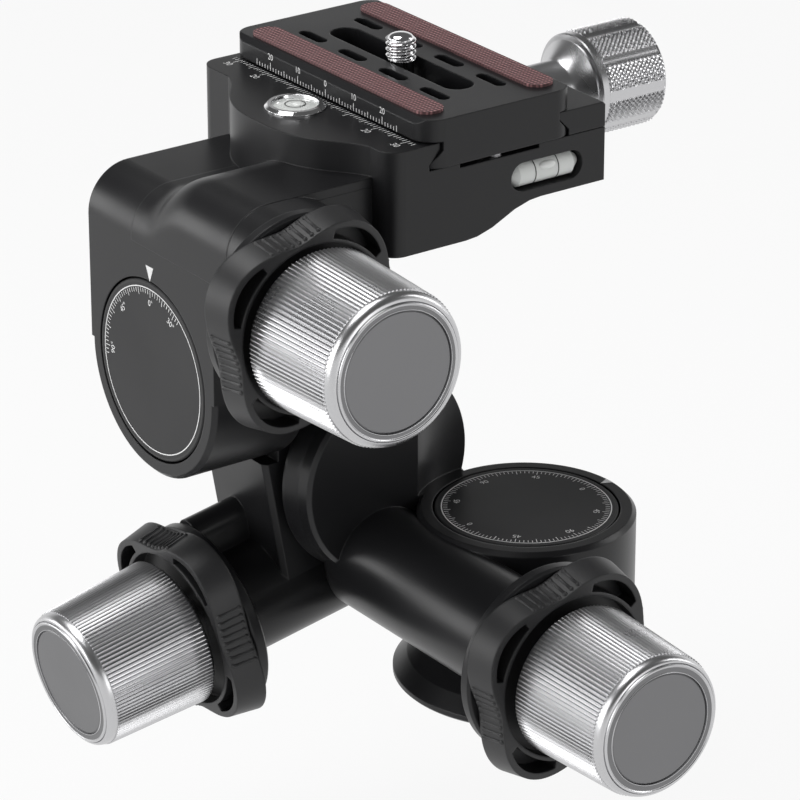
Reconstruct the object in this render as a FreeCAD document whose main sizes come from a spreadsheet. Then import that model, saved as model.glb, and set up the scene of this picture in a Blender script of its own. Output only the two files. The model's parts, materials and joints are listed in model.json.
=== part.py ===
import FreeCAD, Part
import Sketcher

import math
import os

from FreeCAD import Placement, Rotation, Vector

os.makedirs("parts", exist_ok=True)
doc = FreeCAD.newDocument("GearedTripodHead")
sheet = doc.addObject("Spreadsheet::Sheet", "Sizes")


# Sizes that carry both a value and the sheet expression behind it


class Size:
    def __init__(self, value, text):
        self.v = value
        self.e = text

    def __add__(self, other):
        return joined(self, other, "+")

    def __radd__(self, other):
        return joined(other, self, "+")

    def __sub__(self, other):
        return joined(self, other, "-")

    def __rsub__(self, other):
        return joined(other, self, "-")

    def __mul__(self, other):
        return joined(self, other, "*")

    def __rmul__(self, other):
        return joined(other, self, "*")

    def __truediv__(self, other):
        return joined(self, other, "/")

    def __neg__(self):
        return joined(0.0, self, "-")


def as_size(thing):
    if isinstance(thing, Size):
        return thing
    number = float(thing)
    return Size(number, "(%.9f)" % number)


def joined(first, second, sign):
    a = as_size(first)
    b = as_size(second)
    if sign == "+":
        value = a.v + b.v
    elif sign == "-":
        value = a.v - b.v
    elif sign == "*":
        value = a.v * b.v
    else:
        value = a.v / b.v
    return Size(value, "(%s %s %s)" % (a.e, sign, b.e))


row_count = [0]


def size(alias, value, note):
    row_count[0] += 1
    cell = "B%d" % row_count[0]
    sheet.set("A%d" % row_count[0], note)
    sheet.set(cell, str(value))
    sheet.setAlias(cell, alias)
    return Size(float(value), "Sizes." + alias)


# Driving dimensions in millimetres

run_gap = size("run_gap", 0.3, "Open gap between pieces that move past each other")
fit_gap = size("fit_gap", 0.06, "Radial clearance of a running fit")
seat_gap = size("seat_gap", 0.02, "Radial clearance of a fixed piece in its seat")

foot_radius = size("foot_radius", 28.0, "Rim radius of the foot")
foot_rim = size("foot_rim", 1.5, "Height of the foot rim")
foot_step_radius = size("foot_step_radius", 25.0, "Foot radius above the rim bevel")
foot_step = size("foot_step", 3.0, "Height of the rim bevel")
foot_waist_radius = size("foot_waist_radius", 21.0, "Foot radius at the start of the neck")
foot_waist = size("foot_waist", 2.6, "Height from the bevel to the neck")
foot_neck_radius = size("foot_neck_radius", 19.5, "Neck radius of the foot")
foot_height = size("foot_height", 10.7, "Height of the foot")
insert_radius = size("insert_radius", 7.5, "Radius of the threaded tripod insert")
insert_length = size("insert_length", 8.6, "Length of the tripod insert")
tripod_hole_radius = size("tripod_hole_radius", 3.97, "Minor radius of the tripod thread")

housing_radius = size("housing_radius", 23.0, "Outer radius of each gear housing")
pan_floor = size("pan_floor", 8.0, "Floor thickness of the pan housing")
pan_height = size("pan_height", 27.0, "Height of the pan housing")
edge_bevel = size("edge_bevel", 0.9, "Bevel on the housing rims")
opening_radius = size("opening_radius", 19.7, "Radius of the gear chamber")
dial_radius = size("dial_radius", 19.3, "Radius of the dial covers")
dial_thick = size("dial_thick", 1.8, "Thickness of the dial covers")

shaft_radius = size("shaft_radius", 8.0, "Radius of the axis shafts")
bush_wall = size("bush_wall", 2.4, "Wall of the plain bushings")
bush_flange = size("bush_flange", 4.0, "Flange width of the plain bushings")
bush_flange_thick = size("bush_flange_thick", 1.3, "Flange thickness of the bushings")
nut_radius = size("nut_radius", 12.5, "Radius of the ring nuts on the shafts")
nut_slot = size("nut_slot", 3.0, "Width of the spanner slots in the ring nuts")

wheel_teeth = size("wheel_teeth", 45, "Teeth of each worm wheel")
tooth_module = size("tooth_module", 0.83, "Tooth module of the worm sets")
gear_distance = size("gear_distance", 23.3, "Distance from worm axis to wheel axis")
tooth_rise = size("tooth_rise", 0.7, "Tooth height above the pitch line")
tooth_drop = size("tooth_drop", 0.9, "Tooth depth below the pitch line")
tooth_play = size("tooth_play", 0.19, "Free play of a tooth in its gap, each side")
wheel_width = size("wheel_width", 6.4, "Face width of the worm wheels")
worm_length = size("worm_length", 14.0, "Threaded length of the worms")
pan_worm_height = size("pan_worm_height", 24.6, "Height of the pan worm over the base plane")

sleeve_end_wall = size("sleeve_end_wall", 1.2, "End wall of the release sleeve")
cam_shift = size("cam_shift", 0.8, "Sideways offset of the release sleeve axis")
sleeve_radius = size("sleeve_radius", 7.7, "Outer radius of the release sleeve")
sleeve_back = size("sleeve_back", 20.5, "Sleeve length behind the worm centre")
sleeve_front = size("sleeve_front", 45.4, "Sleeve length in front of the worm centre")
window_half = size("window_half", 11.5, "Half length of the sleeve window")
bearing_radius = size("bearing_radius", 5.0, "Outer radius of the worm bearings")
bearing_length = size("bearing_length", 4.5, "Length of the worm bearings")
front_bearing = size("front_bearing", 33.0, "Start of the front worm bearing")
journal_radius = size("journal_radius", 3.0, "Radius of the worm journals")

tube_radius = size("tube_radius", 12.0, "Outer radius of the worm tubes")
tube_back = size("tube_back", 24.5, "Tube length behind the worm centre")
tube_wall_end = size("tube_wall_end", 3.0, "End wall of the worm tubes")
flange_radius = size("flange_radius", 20.5, "Radius of the tube flange")
flange_start = size("flange_start", 37.0, "Start of the tube flange")
flange_thick = size("flange_thick", 3.0, "Thickness of the tube flange")

collar_depth = size("collar_depth", 6.5, "Depth of the release collars")
lobe_rise = size("lobe_rise", 7.6, "Collar lobes beyond the knob base")
scallop_rise = size("scallop_rise", 3.3, "Collar scallops beyond the knob base")
collar_room = size("collar_room", 1.1, "Room between the knob base line and the collar bore")
collar_draw = size("collar_draw", 1.2, "Draft of the collar rim toward its front")
collar_wall = size("collar_wall", 1.4, "Wall of the collar lobes")
pocket_span = size("pocket_span", 19.0, "Half angle of the pocket in each collar lobe in degrees")
lobe_angle = size("lobe_angle", 58.0, "Angle of the first collar lobe in degrees")

knob_start = size("knob_start", 47.4, "Start of the drive knobs")
knob_end = size("knob_end", 74.2, "Face of the drive knobs")
knob_base_radius = size("knob_base_radius", 16.2, "Base radius of the drive knobs")
knob_end_radius = size("knob_end_radius", 15.2, "Knurl radius at the knob face")
knob_bevel = size("knob_bevel", 2.4, "Length of the knob face bevel")
knob_lip_radius = size("knob_lip_radius", 13.6, "Radius of the lip on the knob face")
knob_disc_radius = size("knob_disc_radius", 11.8, "Radius of the inlay on the knob face")
inlay_depth = size("inlay_depth", 1.0, "Depth of the inlay seat")
tilt_knob_extra = size("tilt_knob_extra", 0.9, "Added radius of the tilt knob")

roll_axis_x = size("roll_axis_x", -21.5, "Roll axis position across the head")
roll_axis_z = size("roll_axis_z", 44.0, "Roll axis height over the base plane")
centre_y = size("centre_y", 37.26, "Plane of the roll worm, tilt axis and clamp centre")
ear_front = size("ear_front", 17.5, "Front face of the ear")
ear_radius = size("ear_radius", 21.7, "Radius of the ear")
ear_thick = size("ear_thick", 3.5, "Thickness of the ear rim")
hub_back = size("hub_back", 27.2, "Rear face of the ear hub")
spigot_radius = size("spigot_radius", 17.6, "Radius of the spigot behind the ear hub")
spigot_length = size("spigot_length", 1.5, "Length of the spigot behind the ear hub")
ear_clear_radius = size("ear_clear_radius", 23.3, "Radius cut out of the ear over the dial")
shaft_seat = size("shaft_seat", 6.0, "Depth of the roll shaft seat in the ear")

roll_depth = size("roll_depth", 23.5, "Depth of the roll housing")
roll_wall = size("roll_wall", 5.2, "Front wall of the roll housing")
arm_reach = size("arm_reach", 24.6, "Distance from the roll axis to the arm face")
arm_inner = size("arm_inner", 4.0, "Distance from the roll axis to the inner arm face")
arm_bevel = size("arm_bevel", 1.0, "Edge bevel of the arm")
guard_radius = size("guard_radius", 3.6, "Outer radius of the guard tube on the roll worm tube")
guard_bore = size("guard_bore", 2.2, "Bore radius of the guard tube")
guard_reach = size("guard_reach", 12.4, "Length of the guard tube beyond the arm face")

tilt_axis_z = size("tilt_axis_z", 73.03, "Tilt axis height over the base plane")
tilt_plane_x = size("tilt_plane_x", -59.3, "Plane of the tilt worm")
tilt_face_x = size("tilt_face_x", -68.07, "Outer face of the tilt housing")
tilt_inner_x = size("tilt_inner_x", -44.2, "Inner face of the tilt housing")
tilt_wall = size("tilt_wall", 9.8, "Inner wall of the tilt housing")
boss_radius = size("boss_radius", 14.5, "Radius of the tilt boss on the roll arm")
boss_end_x = size("boss_end_x", -31.0, "End of the tilt boss")

shoulder_low = size("shoulder_low", 110.0, "Height of the rear shoulder")
shoulder_high = size("shoulder_high", 116.0, "Height of the front shoulder")
shoulder_round = size("shoulder_round", 9.8, "Rounding between the shoulders and the dial face")
shoulder_front = size("shoulder_front", 9.0, "Front face of the high shoulder")
shoulder_step = size("shoulder_step", 25.5, "Start of the step between the shoulders")
step_round = size("step_round", 14.6, "Radius of the step between the shoulders")
shoulder_root = size("shoulder_root", 18.0, "Height of the shoulder roots over the tilt axis")
shoulder_overlap = size("shoulder_overlap", 2.0, "Depth of the shoulders inside the clamp base")

clamp_corner = size("clamp_corner", 4.0, "Corner radius at the left end of the clamp")
clamp_half = size("clamp_half", 34.26, "Half length of the clamp")
clamp_top = size("clamp_top", 117.0, "Bed height of the clamp")
clamp_under = size("clamp_under", 100.0, "Underside of the clamp arm")
clamp_thin_under = size("clamp_thin_under", 105.4, "Underside of the clamp beyond the curve")
clamp_left = size("clamp_left", -33.0, "Left end of the clamp base")
clamp_right = size("clamp_right", 21.3, "Right end of the clamp base")
curve_start = size("curve_start", -14.0, "Start of the curve in the clamp underside")
curve_end = size("curve_end", 5.0, "End of the curve in the clamp underside")
jaw_top = size("jaw_top", 122.5, "Top of both jaws")
bed_groove = size("bed_groove", 20.0, "Width of the bed groove")
bed_groove_deep = size("bed_groove_deep", 0.9, "Depth of the bed groove")
bulge_reach = size("bulge_reach", 43.2, "Reach of the jaw bulge from the pan axis plane")

plate_x = size("plate_x", -5.6, "Centre line of the camera plate")
plate_length = size("plate_length", 70.0, "Length of the camera plate")
plate_width = size("plate_width", 38.0, "Width of the camera plate")
plate_top = size("plate_top", 127.6, "Top of the camera plate")
plate_under = size("plate_under", 117.3, "Underside of the camera plate")
dovetail_half = size("dovetail_half", 17.3, "Half width of the dovetail foot")
dovetail_neck = size("dovetail_neck", 14.6, "Half width of the dovetail neck")
dovetail_lip = size("dovetail_lip", 1.0, "Upright edge of the dovetail foot")
plate_ledge = size("plate_ledge", 0.4, "Height of the plate ledge over the jaws")
plate_bevel = size("plate_bevel", 1.2, "Bevel of the plate top")
plate_corner = size("plate_corner", 5.0, "Corner radius of the plate")

lug_half = size("lug_half", 15.0, "Half width of the jaw lug")
lug_low = size("lug_low", 104.8, "Lower face of the jaw lug")
lug_left = size("lug_left", 14.0, "Inner face of the jaw lug")
screw_height = size("screw_height", 112.3, "Height of the clamp screw")
clamp_screw_radius = size("clamp_screw_radius", 3.0, "Radius of the clamp screw")
clamp_screw_tip = size("clamp_screw_tip", -12.0, "Tip of the clamp screw")
guide_radius = size("guide_radius", 2.0, "Radius of the guide pins")
guide_offset = size("guide_offset", 10.5, "Offset of the guide pins from the screw")
clamp_knob_start = size("clamp_knob_start", 22.4, "Start of the clamp knob")
clamp_knob_radius = size("clamp_knob_radius", 11.7, "Radius of the clamp knob grip")
clamp_knob_neck = size("clamp_knob_neck", 6.3, "Neck radius of the clamp knob")
clamp_knob_neck_end = size("clamp_knob_neck_end", 34.6, "End of the clamp knob neck")
clamp_knob_end = size("clamp_knob_end", 56.8, "End of the clamp knob")
grip_start = size("grip_start", 40.4, "Start of the clamp knob grip")
clamp_screw_seat = size("clamp_screw_seat", 14.2, "Depth of the screw seat in the clamp knob")

camera_thread_radius = size("camera_thread_radius", 3.175, "Radius of the camera screw thread")
camera_thread_rise = size("camera_thread_rise", 5.6, "Height of the camera screw over the plate")
slot_half = size("slot_half", 3.5, "Half width of the long camera slot")
slot_run = size("slot_run", 19.5, "Half distance between the ends of the camera slot")

channel_side = size("channel_side", 1.8, "Side room of the screw head under the camera slot")
screw_head_side = size("screw_head_side", 1.5, "Head of the camera screw beyond the slot")
screw_head_thick = size("screw_head_thick", 2.2, "Head thickness of the camera screw")
screw_neck_radius = size("screw_neck_radius", 2.7, "Neck radius of the camera screw")
screw_tip_bevel = size("screw_tip_bevel", 1.0, "Bevel at the tip of the camera screw")
slot_roof = size("slot_roof", 4.6, "Plate thickness over the screw channel")
short_slot_half = size("short_slot_half", 1.35, "Half width of the short slots")
short_slot_run = size("short_slot_run", 3.0, "Half distance between the ends of a short slot")
short_slot_side = size("short_slot_side", 7.1, "Distance of the short slots from the centre line")
short_slot_pitch = size("short_slot_pitch", 14.4, "Spacing of the short slots along the plate")
strip_side = size("strip_side", 13.8, "Distance of the grip strips from the centre line")
strip_half = size("strip_half", 3.3, "Half width of the grip strips")
strip_reach = size("strip_reach", 31.5, "Half length of the grip strips")
strip_rise = size("strip_rise", 0.6, "Height of the grip strips over the plate")
stop_side = size("stop_side", 28.0, "Distance of the stop pins from the plate centre")
stop_radius = size("stop_radius", 1.9, "Radius of the stop pins")

bullseye_x = size("bullseye_x", -32.1, "Round level position across the clamp")
bullseye_radius = size("bullseye_radius", 6.4, "Outer radius of the round level")
bullseye_depth = size("bullseye_depth", 4.0, "Depth of the round level seat")
vial_x = size("vial_x", 6.5, "Tube level position across the clamp")
vial_z = size("vial_z", 110.6, "Height of the tube level")
vial_length = size("vial_length", 18.2, "Length of the tube level window")
vial_height = size("vial_height", 6.2, "Height of the tube level window")
vial_end = size("vial_end", 2.0, "Rounding at the ends of the tube level")
vial_depth = size("vial_depth", 5.6, "Depth of the tube level window")

ARM_LEAN = 10.0


# Helpers that make sheet-driven objects


def bind(obj, prop, value):
    value = as_size(value)
    setattr(obj, prop, value.v)
    obj.setExpression(prop, value.e)


TURNS = {
    "z": Rotation(),
    "-z": Rotation(Vector(1, 0, 0), 180),
    "x": Rotation(Vector(0, 1, 0), 90),
    "-x": Rotation(Vector(0, 1, 0), -90),
    "y": Rotation(Vector(1, 0, 0), -90),
    "-y": Rotation(Vector(1, 0, 0), 90),
}


class Frame:
    def __init__(self, origin, rotation):
        self.origin = origin
        self.rotation = rotation


WORLD = Frame((0.0, 0.0, 0.0), Rotation())


def seat(obj, at, axis="z", frame=WORLD):
    columns = []
    for unit in (Vector(1, 0, 0), Vector(0, 1, 0), Vector(0, 0, 1)):
        columns.append(frame.rotation.multVec(unit))
    obj.Placement = Placement(Vector(0, 0, 0), frame.rotation.multiply(TURNS[axis]))
    for index, letter in enumerate("xyz"):
        total = as_size(frame.origin[index])
        for part, column in zip(at, columns):
            factor = round(column[index], 9)
            if factor == 0.0:
                continue
            total = total + as_size(part) * factor
        obj.setExpression("Placement.Base." + letter, total.e)


def cylinder(name, radius, height, at=(0, 0, 0), axis="z"):
    obj = doc.addObject("Part::Cylinder", name)
    bind(obj, "Radius", radius)
    bind(obj, "Height", height)
    seat(obj, at, axis)
    return obj


def box(name, low, high):
    obj = doc.addObject("Part::Box", name)
    spans = []
    for a, b in zip(low, high):
        spans.append(as_size(b) - as_size(a))
    bind(obj, "Length", spans[0])
    bind(obj, "Width", spans[1])
    bind(obj, "Height", spans[2])
    seat(obj, low)
    return obj


def join(name, pieces):
    obj = doc.addObject("Part::MultiFuse", name)
    obj.Shapes = pieces
    obj.Refine = False
    return obj


def cut(name, base, tools):
    tool = tools
    if isinstance(tools, list):
        tool = tools[0] if len(tools) == 1 else join(name + "Tools", tools)
    obj = doc.addObject("Part::Cut", name)
    obj.Base = base
    obj.Tool = tool
    obj.Refine = True
    return obj


def common(name, first, second):
    obj = doc.addObject("Part::Common", name)
    obj.Base = first
    obj.Tool = second
    obj.Refine = True
    return obj


def origin_plane(body, role):
    for feature in body.Origin.OriginFeatures:
        if feature.Role == role:
            return feature
    return None


def outline_sketch(body, name, points, role):
    sketch = body.newObject("Sketcher::SketchObject", name)
    sketch.AttachmentSupport = [(origin_plane(body, role), "")]
    sketch.MapMode = "FlatFace"
    corners = [(as_size(a), as_size(b)) for a, b in points]
    count = len(corners)
    for index in range(count):
        here = corners[index]
        after = corners[(index + 1) % count]
        start = Vector(here[0].v, here[1].v, 0)
        end = Vector(after[0].v, after[1].v, 0)
        sketch.addGeometry(Part.LineSegment(start, end), False)
    for index in range(count):
        sketch.addConstraint(Sketcher.Constraint("Coincident", index, 2, (index + 1) % count, 1))
    for index, (across, along) in enumerate(corners):
        if abs(across.v) < 1e-9:
            sketch.addConstraint(Sketcher.Constraint("PointOnObject", index, 1, -2))
        else:
            number = sketch.addConstraint(
                Sketcher.Constraint("DistanceX", -1, 1, index, 1, across.v))
            sketch.setExpression("Constraints[%d]" % number, across.e)
        if abs(along.v) < 1e-9:
            sketch.addConstraint(Sketcher.Constraint("PointOnObject", index, 1, -1))
        else:
            number = sketch.addConstraint(
                Sketcher.Constraint("DistanceY", -1, 1, index, 1, along.v))
            sketch.setExpression("Constraints[%d]" % number, along.e)
    return sketch


def lathe(name, points, at=(0, 0, 0), axis="z", frame=WORLD):
    body = doc.addObject("PartDesign::Body", name)
    sketch = outline_sketch(body, name + "Profile", points, "XZ_Plane")
    turned = body.newObject("PartDesign::Revolution", name + "Turned")
    turned.Profile = sketch
    turned.ReferenceAxis = (sketch, ["V_Axis"])
    turned.Angle = 360.0
    body.Tip = turned
    seat(body, at, axis, frame)
    return body


def prism(name, points, length, at=(0, 0, 0), axis="z", frame=WORLD):
    body = doc.addObject("PartDesign::Body", name)
    sketch = outline_sketch(body, name + "Outline", points, "XY_Plane")
    pad = body.newObject("PartDesign::Pad", name + "Pad")
    pad.Profile = sketch
    bind(pad, "Length", length)
    body.Tip = pad
    seat(body, at, axis, frame)
    return body


def solid_feature(name, shape):
    obj = doc.addObject("Part::Feature", name)
    obj.Shape = shape
    return obj


nodes = []


def node(obj, label):
    obj.Label = label
    nodes.append(obj)
    return obj


# Places of the three worm drives, each with X toward its wheel and Z toward its knob

LEAN = math.radians(ARM_LEAN)
LEAN_COS = round(math.cos(LEAN), 9)
LEAN_SIN = round(math.sin(LEAN), 9)
LEAN_TURN = Rotation(Vector(0, 1, 0), -ARM_LEAN)

pan_drive_turn = Rotation(Vector(1, 0, 0), Vector(0, 0, 1), Vector(0, -1, 0), "ZXY")
roll_drive_turn = LEAN_TURN.multiply(
    Rotation(Vector(0, 0, 1), Vector(0, 1, 0), Vector(-1, 0, 0), "ZXY"))
tilt_drive_turn = Rotation(Vector(0, 0, -1), Vector(1, 0, 0), Vector(0, -1, 0), "ZXY")

PAN_DRIVE = Frame((-gear_distance, 0.0, pan_worm_height), pan_drive_turn)
ROLL_DRIVE = Frame((roll_axis_x + gear_distance * LEAN_SIN, centre_y,
                    roll_axis_z - gear_distance * LEAN_COS), roll_drive_turn)
TILT_DRIVE = Frame((tilt_plane_x, centre_y, tilt_axis_z + gear_distance), tilt_drive_turn)

# Places of the three axes, each with Z from the bearing wall toward the dial

PAN_AXIS = Frame((0.0, 0.0, pan_worm_height), Rotation())
ROLL_AXIS = Frame((roll_axis_x, centre_y, roll_axis_z), LEAN_TURN.multiply(TURNS["y"]))
TILT_AXIS = Frame((tilt_plane_x, centre_y, tilt_axis_z), TURNS["-x"])
ROLL_BODY = Frame((roll_axis_x, centre_y, roll_axis_z), LEAN_TURN)


# Worm set


def wheel_pitch_radius():
    return wheel_teeth * tooth_module / 2


def worm_pitch_radius():
    return gear_distance - wheel_pitch_radius()


def tooth_half_width(height):
    half = math.pi * tooth_module.v / 4 - tooth_play.v / 2
    return half - height * math.tan(math.radians(20.0))


def lead_angle():
    return math.atan(tooth_module.v / (2 * worm_pitch_radius().v))


def wheel_outline(turn, height):
    teeth = int(round(wheel_teeth.v))
    pitch = wheel_pitch_radius().v
    levels = ((-tooth_drop.v, -1), (tooth_rise.v, -1), (tooth_rise.v, 1), (-tooth_drop.v, 1))
    points = []
    for index in range(teeth):
        middle = 2 * math.pi * index / teeth + turn
        for level, side in levels:
            radius = pitch + level
            angle = middle + side * tooth_half_width(level) / radius
            points.append(Vector(radius * math.cos(angle), radius * math.sin(angle), height))
    points.append(points[0])
    return Part.makePolygon(points)


def worm_wheel(prefix, frame, worm_side):
    half = wheel_width.v / 2
    phase = math.radians(worm_side + 180.0 / wheel_teeth.v)
    twist = half * math.tan(lead_angle()) / wheel_pitch_radius().v
    low = wheel_outline(phase - twist, -half)
    high = wheel_outline(phase + twist, half)
    blank = Part.makeLoft([low, high], True, True)
    rim = solid_feature(prefix + "WheelTeeth", blank)
    bore = cylinder(prefix + "WheelBore", shaft_radius + seat_gap, wheel_width + 2,
                    (0, 0, -wheel_width / 2 - 1))
    wheel = cut(prefix + "Wheel", rim, bore)
    seat(wheel, (0, 0, 0), "z", frame)
    node(wheel, prefix + "_wheel")


def worm_screw(prefix, frame):
    tip = worm_pitch_radius() + tooth_rise
    root = worm_pitch_radius() - tooth_drop
    pitch = math.pi * tooth_module.v
    turns_length = worm_length.v - pitch
    deep = 0.25
    wide = tooth_half_width(-tooth_drop.v) + deep * math.tan(math.radians(20.0))
    narrow = tooth_half_width(tooth_rise.v)
    start = -turns_length / 2
    helix = Part.makeHelix(pitch, turns_length, worm_pitch_radius().v, 0, False)
    profile = Part.makePolygon([
        Vector(root.v - deep, 0, -wide),
        Vector(tip.v, 0, -narrow),
        Vector(tip.v, 0, narrow),
        Vector(root.v - deep, 0, wide),
        Vector(root.v - deep, 0, -wide)])
    thread = Part.Wire(helix).makePipeShell([profile], True, True)
    thread.translate(Vector(0, 0, start))
    thread.rotate(Vector(0, 0, 0), Vector(0, 0, 1), 360.0 * start / pitch)
    coil = solid_feature(prefix + "WormThread", thread)
    front = front_bearing - fit_gap
    back = sleeve_back - sleeve_end_wall - run_gap
    total = knob_end - 11.3 + back
    core = lathe(prefix + "WormCore", [
        (0, 0),
        (journal_radius, 0),
        (journal_radius, back - window_half + 1.5),
        (root, back - window_half + 2.5),
        (root, back + front),
        (journal_radius, back + front),
        (journal_radius, total),
        (0, total)], (0, 0, -back))
    worm = join(prefix + "Worm", [core, coil])
    seat(worm, (0, 0, 0), "z", frame)
    node(worm, prefix + "_worm")


def worm_bearings(prefix, frame):
    rings = []
    for number, start in enumerate((-sleeve_back + sleeve_end_wall, front_bearing)):
        ring = lathe(prefix + "Bearing%d" % number, [
            (journal_radius + fit_gap, 0),
            (bearing_radius - seat_gap, 0),
            (bearing_radius - seat_gap, bearing_length),
            (journal_radius + fit_gap, bearing_length)], (0, 0, start))
        rings.append(ring)
    pair = doc.addObject("Part::Compound", prefix + "Bearings")
    pair.Links = rings
    seat(pair, (0, 0, 0), "z", frame)
    node(pair, prefix + "_bearings")


def release_sleeve(prefix, frame):
    worm_room = worm_pitch_radius() + tooth_rise + run_gap
    centre = (-cam_shift, cam_shift)
    stock = cylinder(prefix + "SleeveStock", sleeve_radius, sleeve_back + sleeve_front,
                     (centre[0], centre[1], -sleeve_back))
    room = cylinder(prefix + "SleeveRoom", worm_room, window_half + worm_length + 2,
                    (0, 0, -window_half - 1))
    passage = cylinder(prefix + "SleevePassage", worm_pitch_radius() - tooth_drop + run_gap,
                       sleeve_back + sleeve_front + 2, (0, 0, -sleeve_back + 6))
    back_seat = cylinder(prefix + "SleeveBackSeat", bearing_radius, bearing_length + 6,
                         (0, 0, -sleeve_back + sleeve_end_wall))
    front_seat = cylinder(prefix + "SleeveFrontSeat", bearing_radius, bearing_length + 10,
                          (0, 0, front_bearing))
    window = doc.addObject("Part::Box", prefix + "SleeveWindow")
    bind(window, "Length", sleeve_radius * 3)
    bind(window, "Width", sleeve_radius * 3)
    bind(window, "Height", window_half * 2)
    window.Placement = Placement(Vector(0, 0, 0), Rotation(Vector(0, 0, 1), 45.0))
    reach = sleeve_radius * 1.5 * 0.707106781
    window.setExpression("Placement.Base.x", (reach - cam_shift).e)
    window.setExpression("Placement.Base.y", (cam_shift - reach).e)
    window.setExpression("Placement.Base.z", (-window_half).e)
    sleeve = cut(prefix + "Sleeve", stock, [room, passage, back_seat, front_seat, window])
    seat(sleeve, (0, 0, 0), "z", frame)
    node(sleeve, prefix + "_sleeve")


def collar_radius(angle, shrink):
    wave = 0.5 - 0.5 * math.cos(4 * (angle - math.radians(lobe_angle.v - 45.0)))
    rise = scallop_rise.v + (lobe_rise.v - scallop_rise.v) * wave ** 0.85
    return knob_base_radius.v + rise - shrink


def collar_loop(height, shrink):
    points = []
    for index in range(32):
        angle = 2 * math.pi * index / 32
        radius = collar_radius(angle, shrink)
        points.append(Vector(radius * math.cos(angle), radius * math.sin(angle), height))
    curve = Part.BSplineCurve()
    curve.interpolate(points, PeriodicFlag=True)
    return Part.Wire(curve.toShape())


def lobe_pocket(middle, low, high):
    points = []
    span = math.radians(pocket_span.v)
    inner = knob_base_radius.v + collar_room.v + collar_wall.v * 0.6
    for index in range(7):
        angle = middle - span + 2 * span * index / 6
        radius = collar_radius(angle, collar_wall.v + collar_draw.v)
        points.append(Vector(radius * math.cos(angle), radius * math.sin(angle), low))
    outer = Part.BSplineCurve()
    outer.interpolate(points)
    left = Vector(inner * math.cos(middle - span), inner * math.sin(middle - span), low)
    mid = Vector(inner * math.cos(middle), inner * math.sin(middle), low)
    right = Vector(inner * math.cos(middle + span), inner * math.sin(middle + span), low)
    wire = Part.Wire([
        outer.toShape(),
        Part.makeLine(points[-1], right),
        Part.Arc(right, mid, left).toShape(),
        Part.makeLine(left, points[0])])
    return Part.Face(wire).extrude(Vector(0, 0, high - low))


def release_collar(prefix, frame):
    low = (flange_start + flange_thick + run_gap).v
    high = low + collar_depth.v
    body = Part.makeLoft([collar_loop(low, 0.0), collar_loop(high, collar_draw.v)], True, True)
    bores = [Part.makeCylinder(knob_base_radius.v + collar_room.v, collar_depth.v, Vector(0, 0, low + 3.0))]
    for quarter in range(4):
        middle_angle = math.radians(lobe_angle.v + 90.0 * quarter)
        bores.append(lobe_pocket(middle_angle, low + 1.6, high + 1.0))
    shell = solid_feature(prefix + "CollarShell", body.cut(bores))
    hole = cylinder(prefix + "CollarHole", sleeve_radius + seat_gap, collar_depth * 4,
                    (-cam_shift, cam_shift, flange_start))
    collar = cut(prefix + "Collar", shell, hole)
    seat(collar, (0, 0, 0), "z", frame)
    node(collar, prefix + "_collar")


def drive_knob(prefix, frame, extra):
    length = knob_end - knob_start
    base = knob_base_radius + extra
    rim = knob_end_radius + extra
    lip = knob_lip_radius + extra * 0.5
    disc = knob_disc_radius + extra * 0.8
    knob = lathe(prefix + "Knob", [
        (journal_radius + seat_gap, 0),
        (6.5, 0),
        (6.5, 1.0),
        (base - 3.2, 1.0),
        (base - 3.2, 0.4),
        (base - 0.5, 0.4),
        (base, 1.0),
        (rim, length - knob_bevel),
        (rim - 0.5, length - knob_bevel * 0.62),
        (lip + 0.35, length - 0.25),
        (lip, length),
        (disc + seat_gap, length),
        (disc + seat_gap, length - inlay_depth),
        (0, length - inlay_depth),
        (0, length - 11.0),
        (journal_radius + seat_gap, length - 11.0)], (0, 0, knob_start), "z", frame)
    node(knob, prefix + "_knob")
    inlay = lathe(prefix + "Inlay", [
        (0, 0),
        (disc, 0),
        (disc, inlay_depth - 0.5),
        (disc - 0.4, inlay_depth - 0.2),
        (0, inlay_depth - 0.2)], (0, 0, knob_end - inlay_depth), "z", frame)
    node(inlay, prefix + "_knob_inlay")


def drive_unit(prefix, frame, extra):
    release_sleeve(prefix, frame)
    release_collar(prefix, frame)
    worm_bearings(prefix, frame)
    worm_screw(prefix, frame)
    drive_knob(prefix, frame, extra)


def tube_stock(prefix, end):
    tube = lathe(prefix + "TubeStock", [
        (0, 0),
        (tube_radius - 3.0, 0),
        (tube_radius - 0.9, 0.9),
        (tube_radius, 3.0),
        (tube_radius, tube_back + flange_start - 2.4),
        (tube_radius + 0.7, tube_back + flange_start - 0.7),
        (tube_radius + 2.4, tube_back + flange_start),
        (flange_radius - 0.5, tube_back + flange_start),
        (flange_radius, tube_back + flange_start + 0.5),
        (flange_radius, tube_back + flange_start + flange_thick - 0.5),
        (flange_radius - 0.5, tube_back + flange_start + flange_thick),
        (0, tube_back + flange_start + flange_thick)], (-cam_shift, cam_shift, -tube_back))
    placed = doc.addObject("Part::Compound", prefix + "Tube")
    placed.Links = [tube]
    seat(placed, (0, 0, 0), "z", end)
    return placed


def tube_bore(prefix, end):
    bore = cylinder(prefix + "TubeBore", sleeve_radius + fit_gap,
                    tube_back + flange_start + flange_thick,
                    (-cam_shift, cam_shift, tube_wall_end - tube_back))
    placed = doc.addObject("Part::Compound", prefix + "Bore")
    placed.Links = [bore]
    seat(placed, (0, 0, 0), "z", end)
    return placed


# Shafts, bushings, ring nuts and dials that repeat on the three axes


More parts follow.
